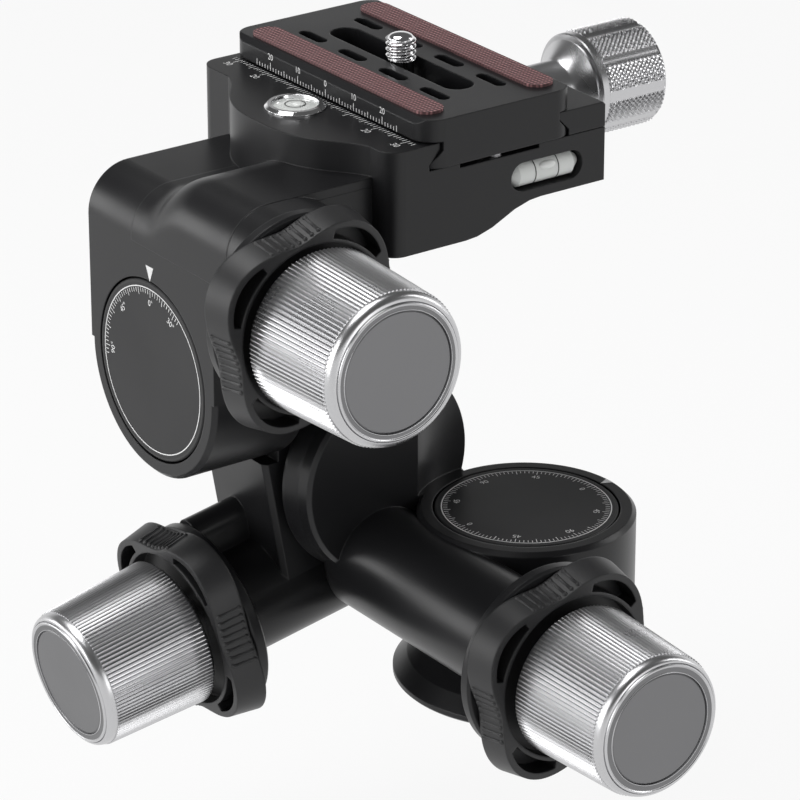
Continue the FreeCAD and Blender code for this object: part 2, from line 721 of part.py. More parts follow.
def axis_shaft(prefix, frame, low, high, flange=None):
    points = [(0, 0)]
    if flange is not None:
        points += [(flange[0], 0), (flange[0], flange[1]), (shaft_radius, flange[1])]
    else:
        points += [(shaft_radius - 0.6, 0), (shaft_radius, 0.6)]
    length = high - low
    points += [(shaft_radius, length - 0.4), (shaft_radius - 0.4, length), (0, length)]
    node(lathe(prefix + "Shaft", points, (0, 0, low), "z", frame), prefix + "_shaft")


def axis_bushing(prefix, frame, low, wall_top):
    barrel = wall_top - low
    inner = shaft_radius + fit_gap
    outer = shaft_radius + bush_wall
    node(lathe(prefix + "Bushing", [
        (inner, 0),
        (outer - seat_gap, 0),
        (outer - seat_gap, barrel),
        (outer + bush_flange, barrel),
        (outer + bush_flange, barrel + bush_flange_thick),
        (inner, barrel + bush_flange_thick)], (0, 0, low), "z", frame), prefix + "_bushing")


def ring_nut(prefix, frame, low, high):
    ring = lathe(prefix + "NutRing", [
        (shaft_radius + seat_gap, 0),
        (nut_radius - 0.5, 0),
        (nut_radius, 0.5),
        (nut_radius, high - low - 0.5),
        (nut_radius - 0.5, high - low),
        (shaft_radius + seat_gap, high - low)])
    slots = []
    for number in range(2):
        slot = doc.addObject("Part::Box", prefix + "NutSlot%d" % number)
        bind(slot, "Length", nut_radius * 3)
        bind(slot, "Width", nut_slot)
        bind(slot, "Height", 2.0)
        if number == 0:
            slot.Placement = Placement(Vector(0, 0, 0), Rotation())
            slot.setExpression("Placement.Base.x", (-nut_radius * 1.5).e)
            slot.setExpression("Placement.Base.y", (-nut_slot / 2).e)
        else:
            slot.Placement = Placement(Vector(0, 0, 0), Rotation(Vector(0, 0, 1), 90.0))
            slot.setExpression("Placement.Base.x", (nut_slot / 2).e)
            slot.setExpression("Placement.Base.y", (-nut_radius * 1.5).e)
        slot.setExpression("Placement.Base.z", (high - low - 1.3).e)
        slots.append(slot)
    nut = cut(prefix + "Nut", ring, slots)
    seat(nut, (0, 0, low), "z", frame)
    node(nut, prefix + "_nut")


def dial_cover(prefix, frame, top):
    node(lathe(prefix + "Dial", [
        (0, 0),
        (dial_radius - 0.3, 0),
        (dial_radius, 0.3),
        (dial_radius, dial_thick - 0.25),
        (dial_radius - 0.25, dial_thick),
        (0, dial_thick)], (0, 0, top - dial_thick), "z", frame), prefix + "_dial")


# Base with the pan shaft


def base_group():
    neck = foot_rim + foot_step + foot_waist
    stock = lathe("FootStock", [
        (0, 0),
        (foot_radius - 0.5, 0),
        (foot_radius, 0.5),
        (foot_radius, foot_rim),
        (foot_step_radius, foot_rim + foot_step),
        (foot_waist_radius, neck),
        (foot_neck_radius, neck + 2.2),
        (foot_neck_radius, foot_height),
        (0, foot_height)])
    insert_seat = cylinder("FootInsertSeat", insert_radius, insert_length + 1, (0, 0, -1))
    flange_seat = cylinder("FootShaftSeat", nut_radius + seat_gap, 3,
                           (0, 0, insert_length + 0.2))
    node(cut("Foot", stock, [insert_seat, flange_seat]), "base_foot")
    insert = lathe("Insert", [
        (tripod_hole_radius, 0),
        (insert_radius - seat_gap - 0.3, 0),
        (insert_radius - seat_gap, 0.3),
        (insert_radius - seat_gap, insert_length),
        (tripod_hole_radius, insert_length)])
    node(insert, "tripod_insert")
    axis_shaft("pan", PAN_AXIS, insert_length + 0.2 - pan_worm_height,
               foot_height + run_gap + pan_height - dial_thick - pan_worm_height,
               (nut_radius, 1.6))
    worm_wheel("pan", PAN_AXIS, 180.0)
    ring_nut("pan", PAN_AXIS, wheel_width / 2 + 0.05, wheel_width / 2 + 5.0)
    dial_cover("pan", PAN_AXIS, foot_height + run_gap + pan_height - pan_worm_height)


# Pan housing with its worm tube and the ear that carries the roll axis


def pan_group():
    low = foot_height + run_gap
    top = low + pan_height
    drum = lathe("PanDrum", [
        (0, 0),
        (housing_radius - edge_bevel, 0),
        (housing_radius, edge_bevel),
        (housing_radius, pan_height - edge_bevel),
        (housing_radius - edge_bevel, pan_height),
        (0, pan_height)], (0, 0, low))
    tube = tube_stock("pan", PAN_DRIVE)
    hub_length = hub_back - ear_front
    ear = lathe("PanEar", [
        (0, 0),
        (ear_radius - 0.8, 0),
        (ear_radius, 0.8),
        (ear_radius + 0.3, ear_thick),
        (ear_radius + 0.5, ear_thick + 0.6),
        (housing_radius, hub_length - spigot_length - 1.2),
        (housing_radius, hub_length - spigot_length - 0.4),
        (housing_radius - 0.4, hub_length - spigot_length),
        (spigot_radius, hub_length - spigot_length),
        (spigot_radius, hub_length),
        (0, hub_length)], (roll_axis_x, ear_front, roll_axis_z), "y")
    relief = cylinder("EarRelief", ear_clear_radius, 60, (0, 0, top), "z")
    ear_cut = cut("EarCut", ear, relief)
    stock = join("PanStock", [drum, tube, ear_cut])
    chamber = cylinder("PanChamber", opening_radius, pan_height, (0, 0, low + pan_floor))
    passage = cylinder("PanShaftWay", shaft_radius + bush_wall, pan_height, (0, 0, low - 1))
    shaft_hole = cylinder("EarShaftSeat", shaft_radius + seat_gap, shaft_seat + 1,
                          (roll_axis_x, hub_back - shaft_seat, roll_axis_z), "y")
    node(cut("PanHousing", stock, [tube_bore("pan", PAN_DRIVE), chamber, passage, shaft_hole]),
         "pan_housing")
    axis_bushing("pan", PAN_AXIS, low - pan_worm_height, low + pan_floor - pan_worm_height)
    axis_shaft("roll", ROLL_AXIS, hub_back - shaft_seat + 0.05 - centre_y,
               hub_back + run_gap + roll_depth - dial_thick - centre_y)
    worm_wheel("roll", ROLL_AXIS, 90.0)
    ring_nut("roll", ROLL_AXIS, wheel_width / 2 + 0.05, wheel_width / 2 + 5.0)
    dial_cover("roll", ROLL_AXIS, hub_back + run_gap + roll_depth - centre_y)


# Roll housing with its worm tube, the leaning arm and the tilt boss


def roll_group():
    low = hub_back + run_gap
    front = low - centre_y
    drum = lathe("RollDrum", [
        (0, 0),
        (housing_radius - edge_bevel, 0),
        (housing_radius, edge_bevel),
        (housing_radius, roll_depth - edge_bevel),
        (housing_radius - edge_bevel, roll_depth),
        (0, roll_depth)], (0, 0, front), "z", Frame((0.0, 0.0, 0.0), TURNS["y"]))
    arm_top = boss_radius + tilt_axis_z - roll_axis_z
    arm_width = arm_reach - arm_inner
    arm = prism("ArmStock", [
        (arm_bevel, 0),
        (arm_width, 0),
        (arm_width, roll_depth),
        (arm_bevel, roll_depth),
        (0, roll_depth - arm_bevel),
        (0, arm_bevel)], arm_top - 8 + gear_distance, (-arm_reach, front, -gear_distance))
    leaning = join("RollLeaning", [drum, arm])
    seat(leaning, (0, 0, 0), "z", ROLL_BODY)
    boss = cylinder("TiltBoss", boss_radius, boss_end_x - tilt_inner_x - run_gap,
                    (tilt_inner_x + run_gap, centre_y, tilt_axis_z), "x")
    tube = tube_stock("roll", ROLL_DRIVE)
    guard = cylinder("GuardStock", guard_radius, guard_reach + 6,
                     (-arm_reach - guard_reach, 5.0, -7.0), "x")
    guard_web = box("GuardWeb", (-arm_reach - guard_reach, 5.0 - guard_radius, -14.0),
                    (-arm_reach + 6, 5.0 + guard_radius, -7.0))
    guard_stock = join("GuardBody", [guard, guard_web])
    seat(guard_stock, (0, 0, 0), "z", ROLL_BODY)
    stock = join("RollStock", [leaning, boss, tube, guard_stock])
    chamber = cylinder("RollChamber", opening_radius, roll_depth,
                       (roll_axis_x, low + roll_wall, roll_axis_z), "y")
    passage = cylinder("RollShaftWay", shaft_radius + bush_wall, roll_depth,
                       (roll_axis_x, low - 1, roll_axis_z), "y")
    swing = box("ArmSwing", (tilt_face_x, 0, tilt_axis_z - housing_radius - run_gap - 0.1),
                (tilt_inner_x + run_gap, 80, tilt_axis_z + 40))
    seat_hole = cylinder("TiltShaftSeat", shaft_radius + seat_gap,
                         boss_end_x - tilt_inner_x - 3.0,
                         (tilt_inner_x - 1, centre_y, tilt_axis_z), "x")
    guard_hole = cylinder("GuardHole", guard_bore, guard_reach,
                          (-arm_reach - guard_reach - 1, 5.0, -7.0), "x")
    guard_way = doc.addObject("Part::Compound", "GuardWay")
    guard_way.Links = [guard_hole]
    seat(guard_way, (0, 0, 0), "z", ROLL_BODY)
    hub_room = cylinder("HubRoom", housing_radius + run_gap, hub_back - spigot_length + run_gap,
                        (roll_axis_x, 0, roll_axis_z), "y")
    cap = box("ArmCap", (-80, 0, tilt_axis_z + boss_radius - 0.001), (40, 80, 140))
    node(cut("RollHousing", stock, [tube_bore("roll", ROLL_DRIVE), chamber, passage, swing,
                                    seat_hole, guard_way, hub_room, cap]),
         "roll_housing")
    axis_bushing("roll", ROLL_AXIS, front, front + roll_wall)
    shaft_low = tilt_plane_x - boss_end_x + 4.05
    axis_shaft("tilt", TILT_AXIS, shaft_low, tilt_plane_x - tilt_face_x - dial_thick)
    worm_wheel("tilt", TILT_AXIS, 0.0)
    ring_nut("tilt", TILT_AXIS, wheel_width / 2 + 0.05, wheel_width / 2 + 3.3)
    dial_cover("tilt", TILT_AXIS, tilt_plane_x - tilt_face_x)


# Tilt housing, shoulders and clamp base in one piece


def jaw_outline(offset, low, high):
    edge = clamp_left.v + 0.3
    middle = centre_y.v - 2.5
    reach = -bulge_reach.v - edge
    steps = ((-26.0, 0.0), (-21.5, 0.22), (-16.0, 0.62), (-9.0, 0.92), (0.0, 1.0),
             (9.0, 0.92), (16.0, 0.62), (22.0, 0.2), (27.0, 0.0))
    points = []
    for along, share in steps:
        points.append(Vector(edge + reach * share - offset, middle + along, low))
    curve = Part.BSplineCurve()
    curve.interpolate(points)
    right = clamp_left.v + 8.0
    last = Vector(right, points[-1].y, low)
    first = Vector(right, points[0].y, low)
    wire = Part.Wire([
        curve.toShape(),
        Part.makeLine(points[-1], last),
        Part.makeLine(last, first),
        Part.makeLine(first, points[0])])
    return Part.Face(wire).extrude(Vector(0, 0, high - low))


def corner_tool(name, corner, turn_x, turn_y, radius, low, high):
    far = (corner[0] + radius * turn_x, corner[1] + radius * turn_y)
    near = (corner[0] - run_gap * turn_x, corner[1] - run_gap * turn_y)
    xs = (near[0], far[0]) if turn_x > 0 else (far[0], near[0])
    ys = (near[1], far[1]) if turn_y > 0 else (far[1], near[1])
    block = box(name + "Block", (xs[0], ys[0], low), (xs[1], ys[1], high))
    return cut(name, block, cylinder(name + "Round", radius, high - low + 2,
                                     (far[0], far[1], low - 1)))


def edge_at(shape, x, z):
    for index, edge in enumerate(shape.Edges):
        middle = edge.CenterOfMass
        if abs(middle.x - x) < 1e-6 and abs(middle.z - z) < 1e-6:
            return index + 1
    raise ValueError("no edge there")


def rounded_bar(name, low, high, radius):
    block = box(name + "Block", low, high)
    spans = [as_size(b).v - as_size(a).v for a, b in zip(low, high)]
    index = edge_at(Part.makeBox(spans[0], spans[1], spans[2]), 0.0, spans[2])
    bar = doc.addObject("Part::Fillet", name)
    bar.Base = block
    bar.Edges = [(index, radius.v, radius.v)]
    return bar


def rounded_drum(name, drum_radius, length, at, radius):
    block = cylinder(name + "Block", drum_radius, length, at, "x")
    index = edge_at(Part.makeCylinder(drum_radius.v, length.v), 0.0, 0.0)
    drum = doc.addObject("Part::Fillet", name)
    drum.Base = block
    drum.Edges = [(index, radius.v, radius.v)]
    return drum


def tilt_group():
    y_front = centre_y - housing_radius
    y_back = centre_y + housing_radius
    face = tilt_face_x
    inner = tilt_inner_x
    thick = inner - face
    join_x = clamp_left + shoulder_overlap
    long = join_x - face
    drum = lathe("TiltDrum", [
        (0, 0),
        (housing_radius - edge_bevel, 0),
        (housing_radius, edge_bevel),
        (housing_radius, thick - edge_bevel),
        (housing_radius - edge_bevel, thick),
        (0, thick)], (0, 0, 0), "z", Frame((face, centre_y, tilt_axis_z), TURNS["x"]))
    root = tilt_axis_z + shoulder_root
    side = box("TiltSide", (face, y_front, tilt_axis_z),
               (inner, y_back, shoulder_low - shoulder_round))
    rear = rounded_bar("ShoulderRear", (face, shoulder_front, root),
                       (join_x, y_back, shoulder_low), shoulder_round)
    front = rounded_bar("ShoulderFront", (face, shoulder_front, root),
                        (join_x, shoulder_step, shoulder_high), shoulder_round)
    step = rounded_drum("ShoulderStep", step_round, long,
                        (face, shoulder_step, shoulder_high - step_round), shoulder_round)
    shoulders_raw = join("ShouldersRaw", [rear, front, step])
    low_room = box("ShoulderRoom", (inner, 0, tilt_axis_z), (join_x + 1, 80, clamp_under))
    shoulders = cut("Shoulders", shoulders_raw, low_room)
    tube_raw = tube_stock("tilt", TILT_DRIVE)
    tube_all = cut("TiltTubeCut", tube_raw, box("TubeRearBox", (-100, shoulder_front + 1, 60),
                                                 (0, 80, 130)))
    base = box("ClampBase", (clamp_left, centre_y - clamp_half, clamp_under),
               (clamp_right, centre_y + clamp_half, clamp_top))
    thin_cut = box("ThinCut", (curve_end, 0, clamp_under - 5),
                   (clamp_right + 5, 80, clamp_thin_under))
    slope = prism("CurveCut", [
        (0, 0),
        ((curve_end - curve_start) * 0.15, 0.25),
        ((curve_end - curve_start) * 0.35, (clamp_thin_under - clamp_under) * 0.25),
        ((curve_end - curve_start) * 0.65, (clamp_thin_under - clamp_under) * 0.75),
        ((curve_end - curve_start) * 0.85, clamp_thin_under - clamp_under - 0.25),
        (curve_end - curve_start, clamp_thin_under - clamp_under),
        (curve_end - curve_start, 0)], 80, (curve_start, 80, clamp_under), "-y")
    jaw_shape = jaw_outline(0.0, shoulder_low.v - 1, jaw_top.v)
    bulge = solid_feature("JawBulge", jaw_shape)
    jaw_bar = box("JawBar", (clamp_left, centre_y - clamp_half, clamp_top - 0.5),
                  (plate_x - dovetail_neck - run_gap, centre_y + clamp_half, jaw_top))
    stock = join("TiltStock", [drum, side, shoulders, tube_all, base, bulge, jaw_bar])
    under = dovetail_half - dovetail_neck
    undercut = prism("JawUndercut", [
        (0, 0),
        (0, dovetail_lip + run_gap),
        (under, dovetail_lip + run_gap + under),
        (under + 3, dovetail_lip + run_gap + under),
        (under + 3, 0)], 80,
        (plate_x - dovetail_half - run_gap, 80, clamp_top), "-y")
    groove = box("BedGroove", (plate_x - bed_groove / 2, 0, clamp_top - bed_groove_deep),
                 (plate_x + bed_groove / 2, 80, clamp_top + 1))
    chamber = cylinder("TiltChamber", opening_radius, thick,
                       (inner - tilt_wall, centre_y, tilt_axis_z), "-x")
    passage = cylinder("TiltShaftWay", shaft_radius + bush_wall, thick,
                       (inner + 1, centre_y, tilt_axis_z), "-x")
    lug_room = box("LugRoom", (lug_left - run_gap, centre_y - lug_half - run_gap,
                               lug_low - run_gap),
                   (clamp_right + 5, centre_y + lug_half + run_gap, clamp_top + 5))
    screw_way = cylinder("ScrewWay", clamp_screw_radius + run_gap,
                         lug_left - clamp_screw_tip + 6,
                         (clamp_screw_tip - 3, centre_y, screw_height), "x")
    ways = []
    for number, side_sign in enumerate((-1, 1)):
        ways.append(cylinder("GuideWay%d" % number, guide_radius + seat_gap, 20,
                             (-5, centre_y + guide_offset * side_sign, screw_height), "x"))
    level_seat = cylinder("RoundLevelSeat", bullseye_radius, bullseye_depth + 1,
                          (bullseye_x, centre_y, jaw_top - bullseye_depth))
    half = (vial_length - vial_height) / 2
    y_face = centre_y - clamp_half
    vial_room = [
        box("VialRoom", (vial_x - half, y_face - 1, vial_z - vial_height / 2),
            (vial_x + half, y_face + vial_depth, vial_z + vial_height / 2)),
        cylinder("VialRoomLeft", vial_height / 2, vial_depth + 1,
                 (vial_x - half, y_face - 1, vial_z), "y"),
        cylinder("VialRoomRight", vial_height / 2, vial_depth + 1,
                 (vial_x + half, y_face - 1, vial_z), "y")]
    corners = []
    for number, turn_y in enumerate((1, -1)):
        corners.append(corner_tool("ClampCorner%d" % number,
                                   (clamp_left, centre_y - clamp_half * turn_y), 1, turn_y,
                                   clamp_corner, clamp_under - 1, jaw_top + 1))
    tools = corners + [thin_cut, slope, undercut, groove, chamber, passage, lug_room, screw_way,
             level_seat, tube_bore("tilt", TILT_DRIVE)] + ways + vial_room
    node(cut("TiltHousing", stock, tools), "tilt_housing")
    axis_bushing("tilt", TILT_AXIS, tilt_plane_x - tilt_inner_x,
                 tilt_plane_x - tilt_inner_x + tilt_wall)
    guide_pins()
    levels()


def guide_pins():
    pins = []
    for number, side_sign in enumerate((-1, 1)):
        pins.append(cylinder("GuidePin%d" % number, guide_radius, 25,
                             (-4.8, centre_y + guide_offset * side_sign, screw_height), "x"))
    pair = doc.addObject("Part::Compound", "GuidePins")
    pair.Links = pins
    node(pair, "clamp_guides")


def levels():
    node(lathe("RoundLevelRing", [
        (0, 0),
        (bullseye_radius - seat_gap, 0),
        (bullseye_radius - seat_gap, bullseye_depth + 0.3),
        (bullseye_radius - 0.7, bullseye_depth + 0.9),
        (bullseye_radius - 1.5, bullseye_depth + 0.9),
        (bullseye_radius - 1.7, bullseye_depth + 0.3),
        (bullseye_radius - 1.7, 1.0),
        (0, 1.0)], (bullseye_x, centre_y, jaw_top - bullseye_depth)), "round_level_ring")
    node(lathe("RoundLevelVial", [
        (0, 0),
        (bullseye_radius - 1.7 - seat_gap, 0),
        (bullseye_radius - 1.7 - seat_gap, bullseye_depth - 0.9),
        (bullseye_radius - 3.4, bullseye_depth - 0.5),
        (0, bullseye_depth - 0.35)],
        (bullseye_x, centre_y, jaw_top - bullseye_depth + 1.02)), "round_level_vial")
    radius = vial_height / 2 - run_gap
    length = vial_length - 2 * run_gap
    nose = radius - vial_end * 0.8
    node(lathe("TubeLevel", [
        (0, 0),
        (nose, 0),
        (radius, vial_end),
        (radius, length - vial_end),
        (nose, length),
        (0, length)],
        (vial_x - length / 2, centre_y - clamp_half + vial_depth - radius - 0.1, vial_z), "x"),
        "tube_level")


# Moving jaw with its screw and knob


def jaw_group():
    neck_x = plate_x + dovetail_neck + run_gap
    under = dovetail_half - dovetail_neck
    bed = clamp_top + 0.15
    bar = prism("JawProfile", [
        (under, 0),
        (clamp_right - neck_x, 0),
        (clamp_right - neck_x, jaw_top - bed - 0.6),
        (clamp_right - neck_x - 0.6, jaw_top - bed),
        (0, jaw_top - bed),
        (0, dovetail_lip + run_gap + under),
        (under, dovetail_lip + run_gap)], clamp_half * 2,
        (neck_x, centre_y + clamp_half, bed), "-y")
    lug = box("JawLug", (lug_left, centre_y - lug_half, lug_low),
              (clamp_right, centre_y + lug_half, clamp_top + 1))
    stock = join("JawStock", [bar, lug])
    holes = [cylinder("JawScrewWay", clamp_screw_radius + fit_gap, 20,
                      (lug_left - 5, centre_y, screw_height), "x")]
    for number, side_sign in enumerate((-1, 1)):
        holes.append(cylinder("JawGuideWay%d" % number, guide_radius + fit_gap,
                              clamp_right - lug_left - 0.6,
                              (lug_left - 0.2, centre_y + guide_offset * side_sign,
                               screw_height), "x"))
    node(cut("Jaw", stock, holes), "clamp_jaw")
    washer = lathe("ClampWasher", [
        (clamp_screw_radius + fit_gap, 0),
        (7.0, 0),
        (7.0, clamp_knob_start - clamp_right - 0.1),
        (clamp_screw_radius + fit_gap, clamp_knob_start - clamp_right - 0.1)],
        (clamp_right + 0.05, centre_y, screw_height), "x")
    node(washer, "clamp_washer")
    screw = lathe("ClampScrew", [
        (0, 0),
        (clamp_screw_radius - 0.6, 0),
        (clamp_screw_radius, 0.6),
        (clamp_screw_radius, clamp_knob_start + clamp_screw_seat - run_gap - clamp_screw_tip),
        (0, clamp_knob_start + clamp_screw_seat - run_gap - clamp_screw_tip)],
        (clamp_screw_tip, centre_y, screw_height), "x")
    node(screw, "clamp_screw")
    start = clamp_knob_start
    grip = grip_start - start
    total = clamp_knob_end - start
    neck = clamp_knob_neck_end - start
    flare = grip - neck
    swell = clamp_knob_radius - clamp_knob_neck
    knob = lathe("ClampKnob", [
        (clamp_screw_radius + seat_gap, 0),
        (clamp_knob_neck - 1.0, 0),
        (clamp_knob_neck, 0.6),
        (clamp_knob_neck, neck),
        (clamp_knob_neck + swell * 0.08, neck + flare * 0.12),
        (clamp_knob_neck + swell * 0.24, neck + flare * 0.32),
        (clamp_knob_neck + swell * 0.56, neck + flare * 0.6),
        (clamp_knob_neck + swell * 0.66, neck + flare * 0.66),
        (clamp_knob_radius - 0.6, grip - 0.9),
        (clamp_knob_radius - 0.6, grip - 0.4),
        (clamp_knob_radius, grip + 0.3),
        (clamp_knob_radius, total - 1.0),
        (clamp_knob_radius - 1.0, total),
        (0, total),
        (0, clamp_screw_seat),
        (clamp_screw_radius + seat_gap, clamp_screw_seat)], (start, centre_y, screw_height), "x")
    node(knob, "clamp_knob")


# Camera plate with its strips and screw


def slot_tool(name, half_width, run, across, along, low, high):
    left = cylinder(name + "A", half_width, high - low, (across, along - run, low))
    right = cylinder(name + "B", half_width, high - low, (across, along + run, low))
    bar = box(name + "C", (across - half_width, along - run, low),
              (across + half_width, along + run, high))
    return [left, right, bar]


def plate_group():
    half = plate_width / 2
    foot = dovetail_half
    neck = dovetail_neck
    under = foot - neck
    y_low = centre_y - plate_length / 2
    ledge = jaw_top + plate_ledge - plate_under
    tall = plate_top - plate_under
    profile = prism("PlateProfile", [
        (half - foot, 0),
        (half + foot, 0),
        (half + foot, dovetail_lip),
        (half + neck, dovetail_lip + under),
        (half + neck, ledge),
        (half * 2, ledge),
        (half * 2, tall - plate_bevel),
        (half * 2 - plate_bevel, tall),
        (plate_bevel, tall),
        (0, tall - plate_bevel),
        (0, ledge),
        (half - neck, ledge),
        (half - neck, dovetail_lip + under),
        (half - foot, dovetail_lip)], plate_length,
        (plate_x - half, centre_y + plate_length / 2, plate_under), "-y")
    round_low = plate_under - 1
    round_high = plate_top + 1
    corners = []
    for a, side_x in enumerate((-1, 1)):
        for b, side_y in enumerate((-1, 1)):
            corners.append(cylinder(
                "PlateCorner%d%d" % (a, b), plate_corner, round_high - round_low,
                (plate_x + (half - plate_corner) * side_x,
                 centre_y + (plate_length / 2 - plate_corner) * side_y, round_low)))
    corners.append(box("PlateLong", (plate_x - half + plate_corner, y_low, round_low),
                       (plate_x + half - plate_corner, y_low + plate_length, round_high)))
    corners.append(box("PlateWide", (plate_x - half, y_low + plate_corner, round_low),
                       (plate_x + half, y_low + plate_length - plate_corner, round_high)))
    rounded = common("PlateRounded", profile, join("PlateRound", corners))
    tools = slot_tool("CameraSlot", slot_half, slot_run, plate_x, centre_y,
                      plate_under - 1, plate_top + 1)
    tools += slot_tool("CameraSlotWide", slot_half + channel_side, slot_run, plate_x, centre_y,
                       plate_under - 1, plate_top - slot_roof)
    for a, side_x in enumerate((-1, 1)):
        for b, share in enumerate((-1.5, -0.5, 0.5, 1.5)):
            tools += slot_tool("PlateSlot%d%d" % (a, b), short_slot_half, short_slot_run,
                               plate_x + short_slot_side * side_x,
                               centre_y + short_slot_pitch * share,
                               plate_under - 1, plate_top + 1)
    node(cut("Plate", rounded, tools), "camera_plate")
    strips = []
    for number, side_x in enumerate((-1, 1)):
        strips.append(join("GripStrip%d" % number, slot_tool(
            "GripPart%d" % number, strip_half, strip_reach - strip_half,
            plate_x + strip_side * side_x, centre_y, plate_top + seat_gap,
            plate_top + strip_rise)))
    pair = doc.addObject("Part::Compound", "GripStrips")
    pair.Links = strips
    node(pair, "plate_grips")
    stops = []
    for number, side_y in enumerate((-1, 1)):
        stops.append(cylinder("StopPin%d" % number, stop_radius, bed_groove_deep - 0.1,
                              (plate_x, centre_y + stop_side * side_y,
                               plate_under - bed_groove_deep + 0.1)))
    stop_pair = doc.addObject("Part::Compound", "StopPins")
    stop_pair.Links = stops
    node(stop_pair, "plate_stops")
    head_low = plate_top - slot_roof - seat_gap - screw_head_thick
    shoulder = plate_top - head_low
    tip = shoulder + camera_thread_rise
    screw = lathe("CameraScrew", [
        (0, 0),
        (slot_half + screw_head_side, 0),
        (slot_half + screw_head_side, screw_head_thick),
        (screw_neck_radius, screw_head_thick),
        (screw_neck_radius, shoulder),
        (camera_thread_radius, shoulder),
        (camera_thread_radius, tip - screw_tip_bevel),
        (camera_thread_radius - screw_tip_bevel, tip),
        (0, tip + 0.25)],
        (plate_x, centre_y, head_low))
    node(screw, "camera_screw")


base_group()
pan_group()
roll_group()
tilt_group()
jaw_group()
plate_group()
drive_unit("pan", PAN_DRIVE, 0.0)
drive_unit("roll", ROLL_DRIVE, 0.0)
drive_unit("tilt", TILT_DRIVE, tilt_knob_extra)

doc.recompute()

for item in doc.Objects:
    if "Invalid" in item.State or "Error" in item.State:
        raise RuntimeError("object %s is not valid: %s" % (item.Name, item.State))

for item in nodes:
    if item.Shape.isNull() or not item.Shape.isValid():
        raise RuntimeError("shape of %s is not valid" % item.Label)

for item in nodes:
    item.Shape.exportStep("parts/%s.step" % item.Label)

print("nodes written:", len(nodes))
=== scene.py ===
import bpy
import json
import math
from mathutils import Matrix, Vector


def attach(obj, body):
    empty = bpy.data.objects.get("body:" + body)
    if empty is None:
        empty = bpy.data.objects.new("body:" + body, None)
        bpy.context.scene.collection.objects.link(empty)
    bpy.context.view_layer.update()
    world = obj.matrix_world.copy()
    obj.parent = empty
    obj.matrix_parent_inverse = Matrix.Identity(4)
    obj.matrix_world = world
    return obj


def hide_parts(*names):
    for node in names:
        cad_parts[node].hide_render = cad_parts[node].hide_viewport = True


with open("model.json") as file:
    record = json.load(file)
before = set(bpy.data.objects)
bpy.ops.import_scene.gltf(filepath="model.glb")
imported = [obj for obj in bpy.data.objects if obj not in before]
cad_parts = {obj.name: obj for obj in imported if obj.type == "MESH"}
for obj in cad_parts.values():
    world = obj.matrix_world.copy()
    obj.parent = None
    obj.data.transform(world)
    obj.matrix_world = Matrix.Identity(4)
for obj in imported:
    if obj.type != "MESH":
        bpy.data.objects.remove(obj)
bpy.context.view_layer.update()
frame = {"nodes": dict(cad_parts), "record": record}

NODES = frame["nodes"]
MM = 0.001


# Places shared with the part, in millimetres

LEAN = math.radians(10.0)
CENTRE_Y = 37.26
GEAR_DISTANCE = 23.3
ROLL_X = -21.5
ROLL_Z = 44.0
TILT_Z = 73.03
TILT_PLANE = -59.3
TILT_FACE = -68.07
PLATE_X = -5.6
PLATE_TOP = 127.6
JAW_TOP = 122.5
CLAMP_FRONT = CENTRE_Y - 34.26
SCREW_Z = 112.3


def frame_matrix(origin, x_axis, y_axis, z_axis):
    """Matrix that takes a shape's own axes to the given origin and directions."""
    m = Matrix.Identity(4)
    for row in range(3):
        m[row][0] = x_axis[row]
        m[row][1] = y_axis[row]
        m[row][2] = z_axis[row]
        m[row][3] = origin[row]
    return m


LC = math.cos(LEAN)
LS = math.sin(LEAN)
DRIVES = {
    "pan": frame_matrix((-GEAR_DISTANCE, 0, 24.6), (1, 0, 0), (0, 0, 1), (0, -1, 0)),
    "roll": frame_matrix((ROLL_X + GEAR_DISTANCE * LS, CENTRE_Y, ROLL_Z - GEAR_DISTANCE * LC),
                         (-LS, 0, LC), (0, 1, 0), (-LC, 0, -LS)),
    "tilt": frame_matrix((TILT_PLANE, CENTRE_Y, TILT_Z + GEAR_DISTANCE),
                         (0, 0, -1), (1, 0, 0), (0, -1, 0)),
}
WORLD = Matrix.Identity(4)


# Materials

BROAD_SCALE = 35.0
STREAK_SCALE = 300.0
WEAVE_SCALE = 330.0
EDGE_SAMPLES = 4


def new_material(name):
    mat = bpy.data.materials.new(name)
    mat.use_nodes = True
    tree = mat.node_tree
    shader = tree.nodes["Principled BSDF"]
    return mat, tree, shader


def coordinates(tree):
    return tree.nodes.new("ShaderNodeTexCoord").outputs["Object"]


def noise(tree, scale, detail=2.0, rough=0.5):
    node = tree.nodes.new("ShaderNodeTexNoise")
    node.inputs["Scale"].default_value = scale
    node.inputs["Detail"].default_value = detail
    node.inputs["Roughness"].default_value = rough
    tree.links.new(coordinates(tree), node.inputs["Vector"])
    return node.outputs["Fac"]


def remap(tree, value, low, high):
    """The middle of a noise's range, spread from low to high."""
    node = tree.nodes.new("ShaderNodeMapRange")
    node.inputs["From Min"].default_value = 0.3
    node.inputs["From Max"].default_value = 0.7
    node.inputs["To Min"].default_value = low
    node.inputs["To Max"].default_value = high
    tree.links.new(value, node.inputs["Value"])
    return node.outputs["Result"]


def surface(tree, shader, height, distance, strength, bevel=0.0):
    """Fine relief from a height, with edges rounded by a bevel in metres."""
    bump = tree.nodes.new("ShaderNodeBump")
    bump.inputs["Strength"].default_value = strength
    bump.inputs["Distance"].default_value = distance
    tree.links.new(height, bump.inputs["Height"])
    if bevel > 0:
        edge = tree.nodes.new("ShaderNodeBevel")
        edge.samples = EDGE_SAMPLES
        edge.inputs["Radius"].default_value = bevel
        tree.links.new(edge.outputs["Normal"], bump.inputs["Normal"])
    tree.links.new(bump.outputs["Normal"], shader.inputs["Normal"])


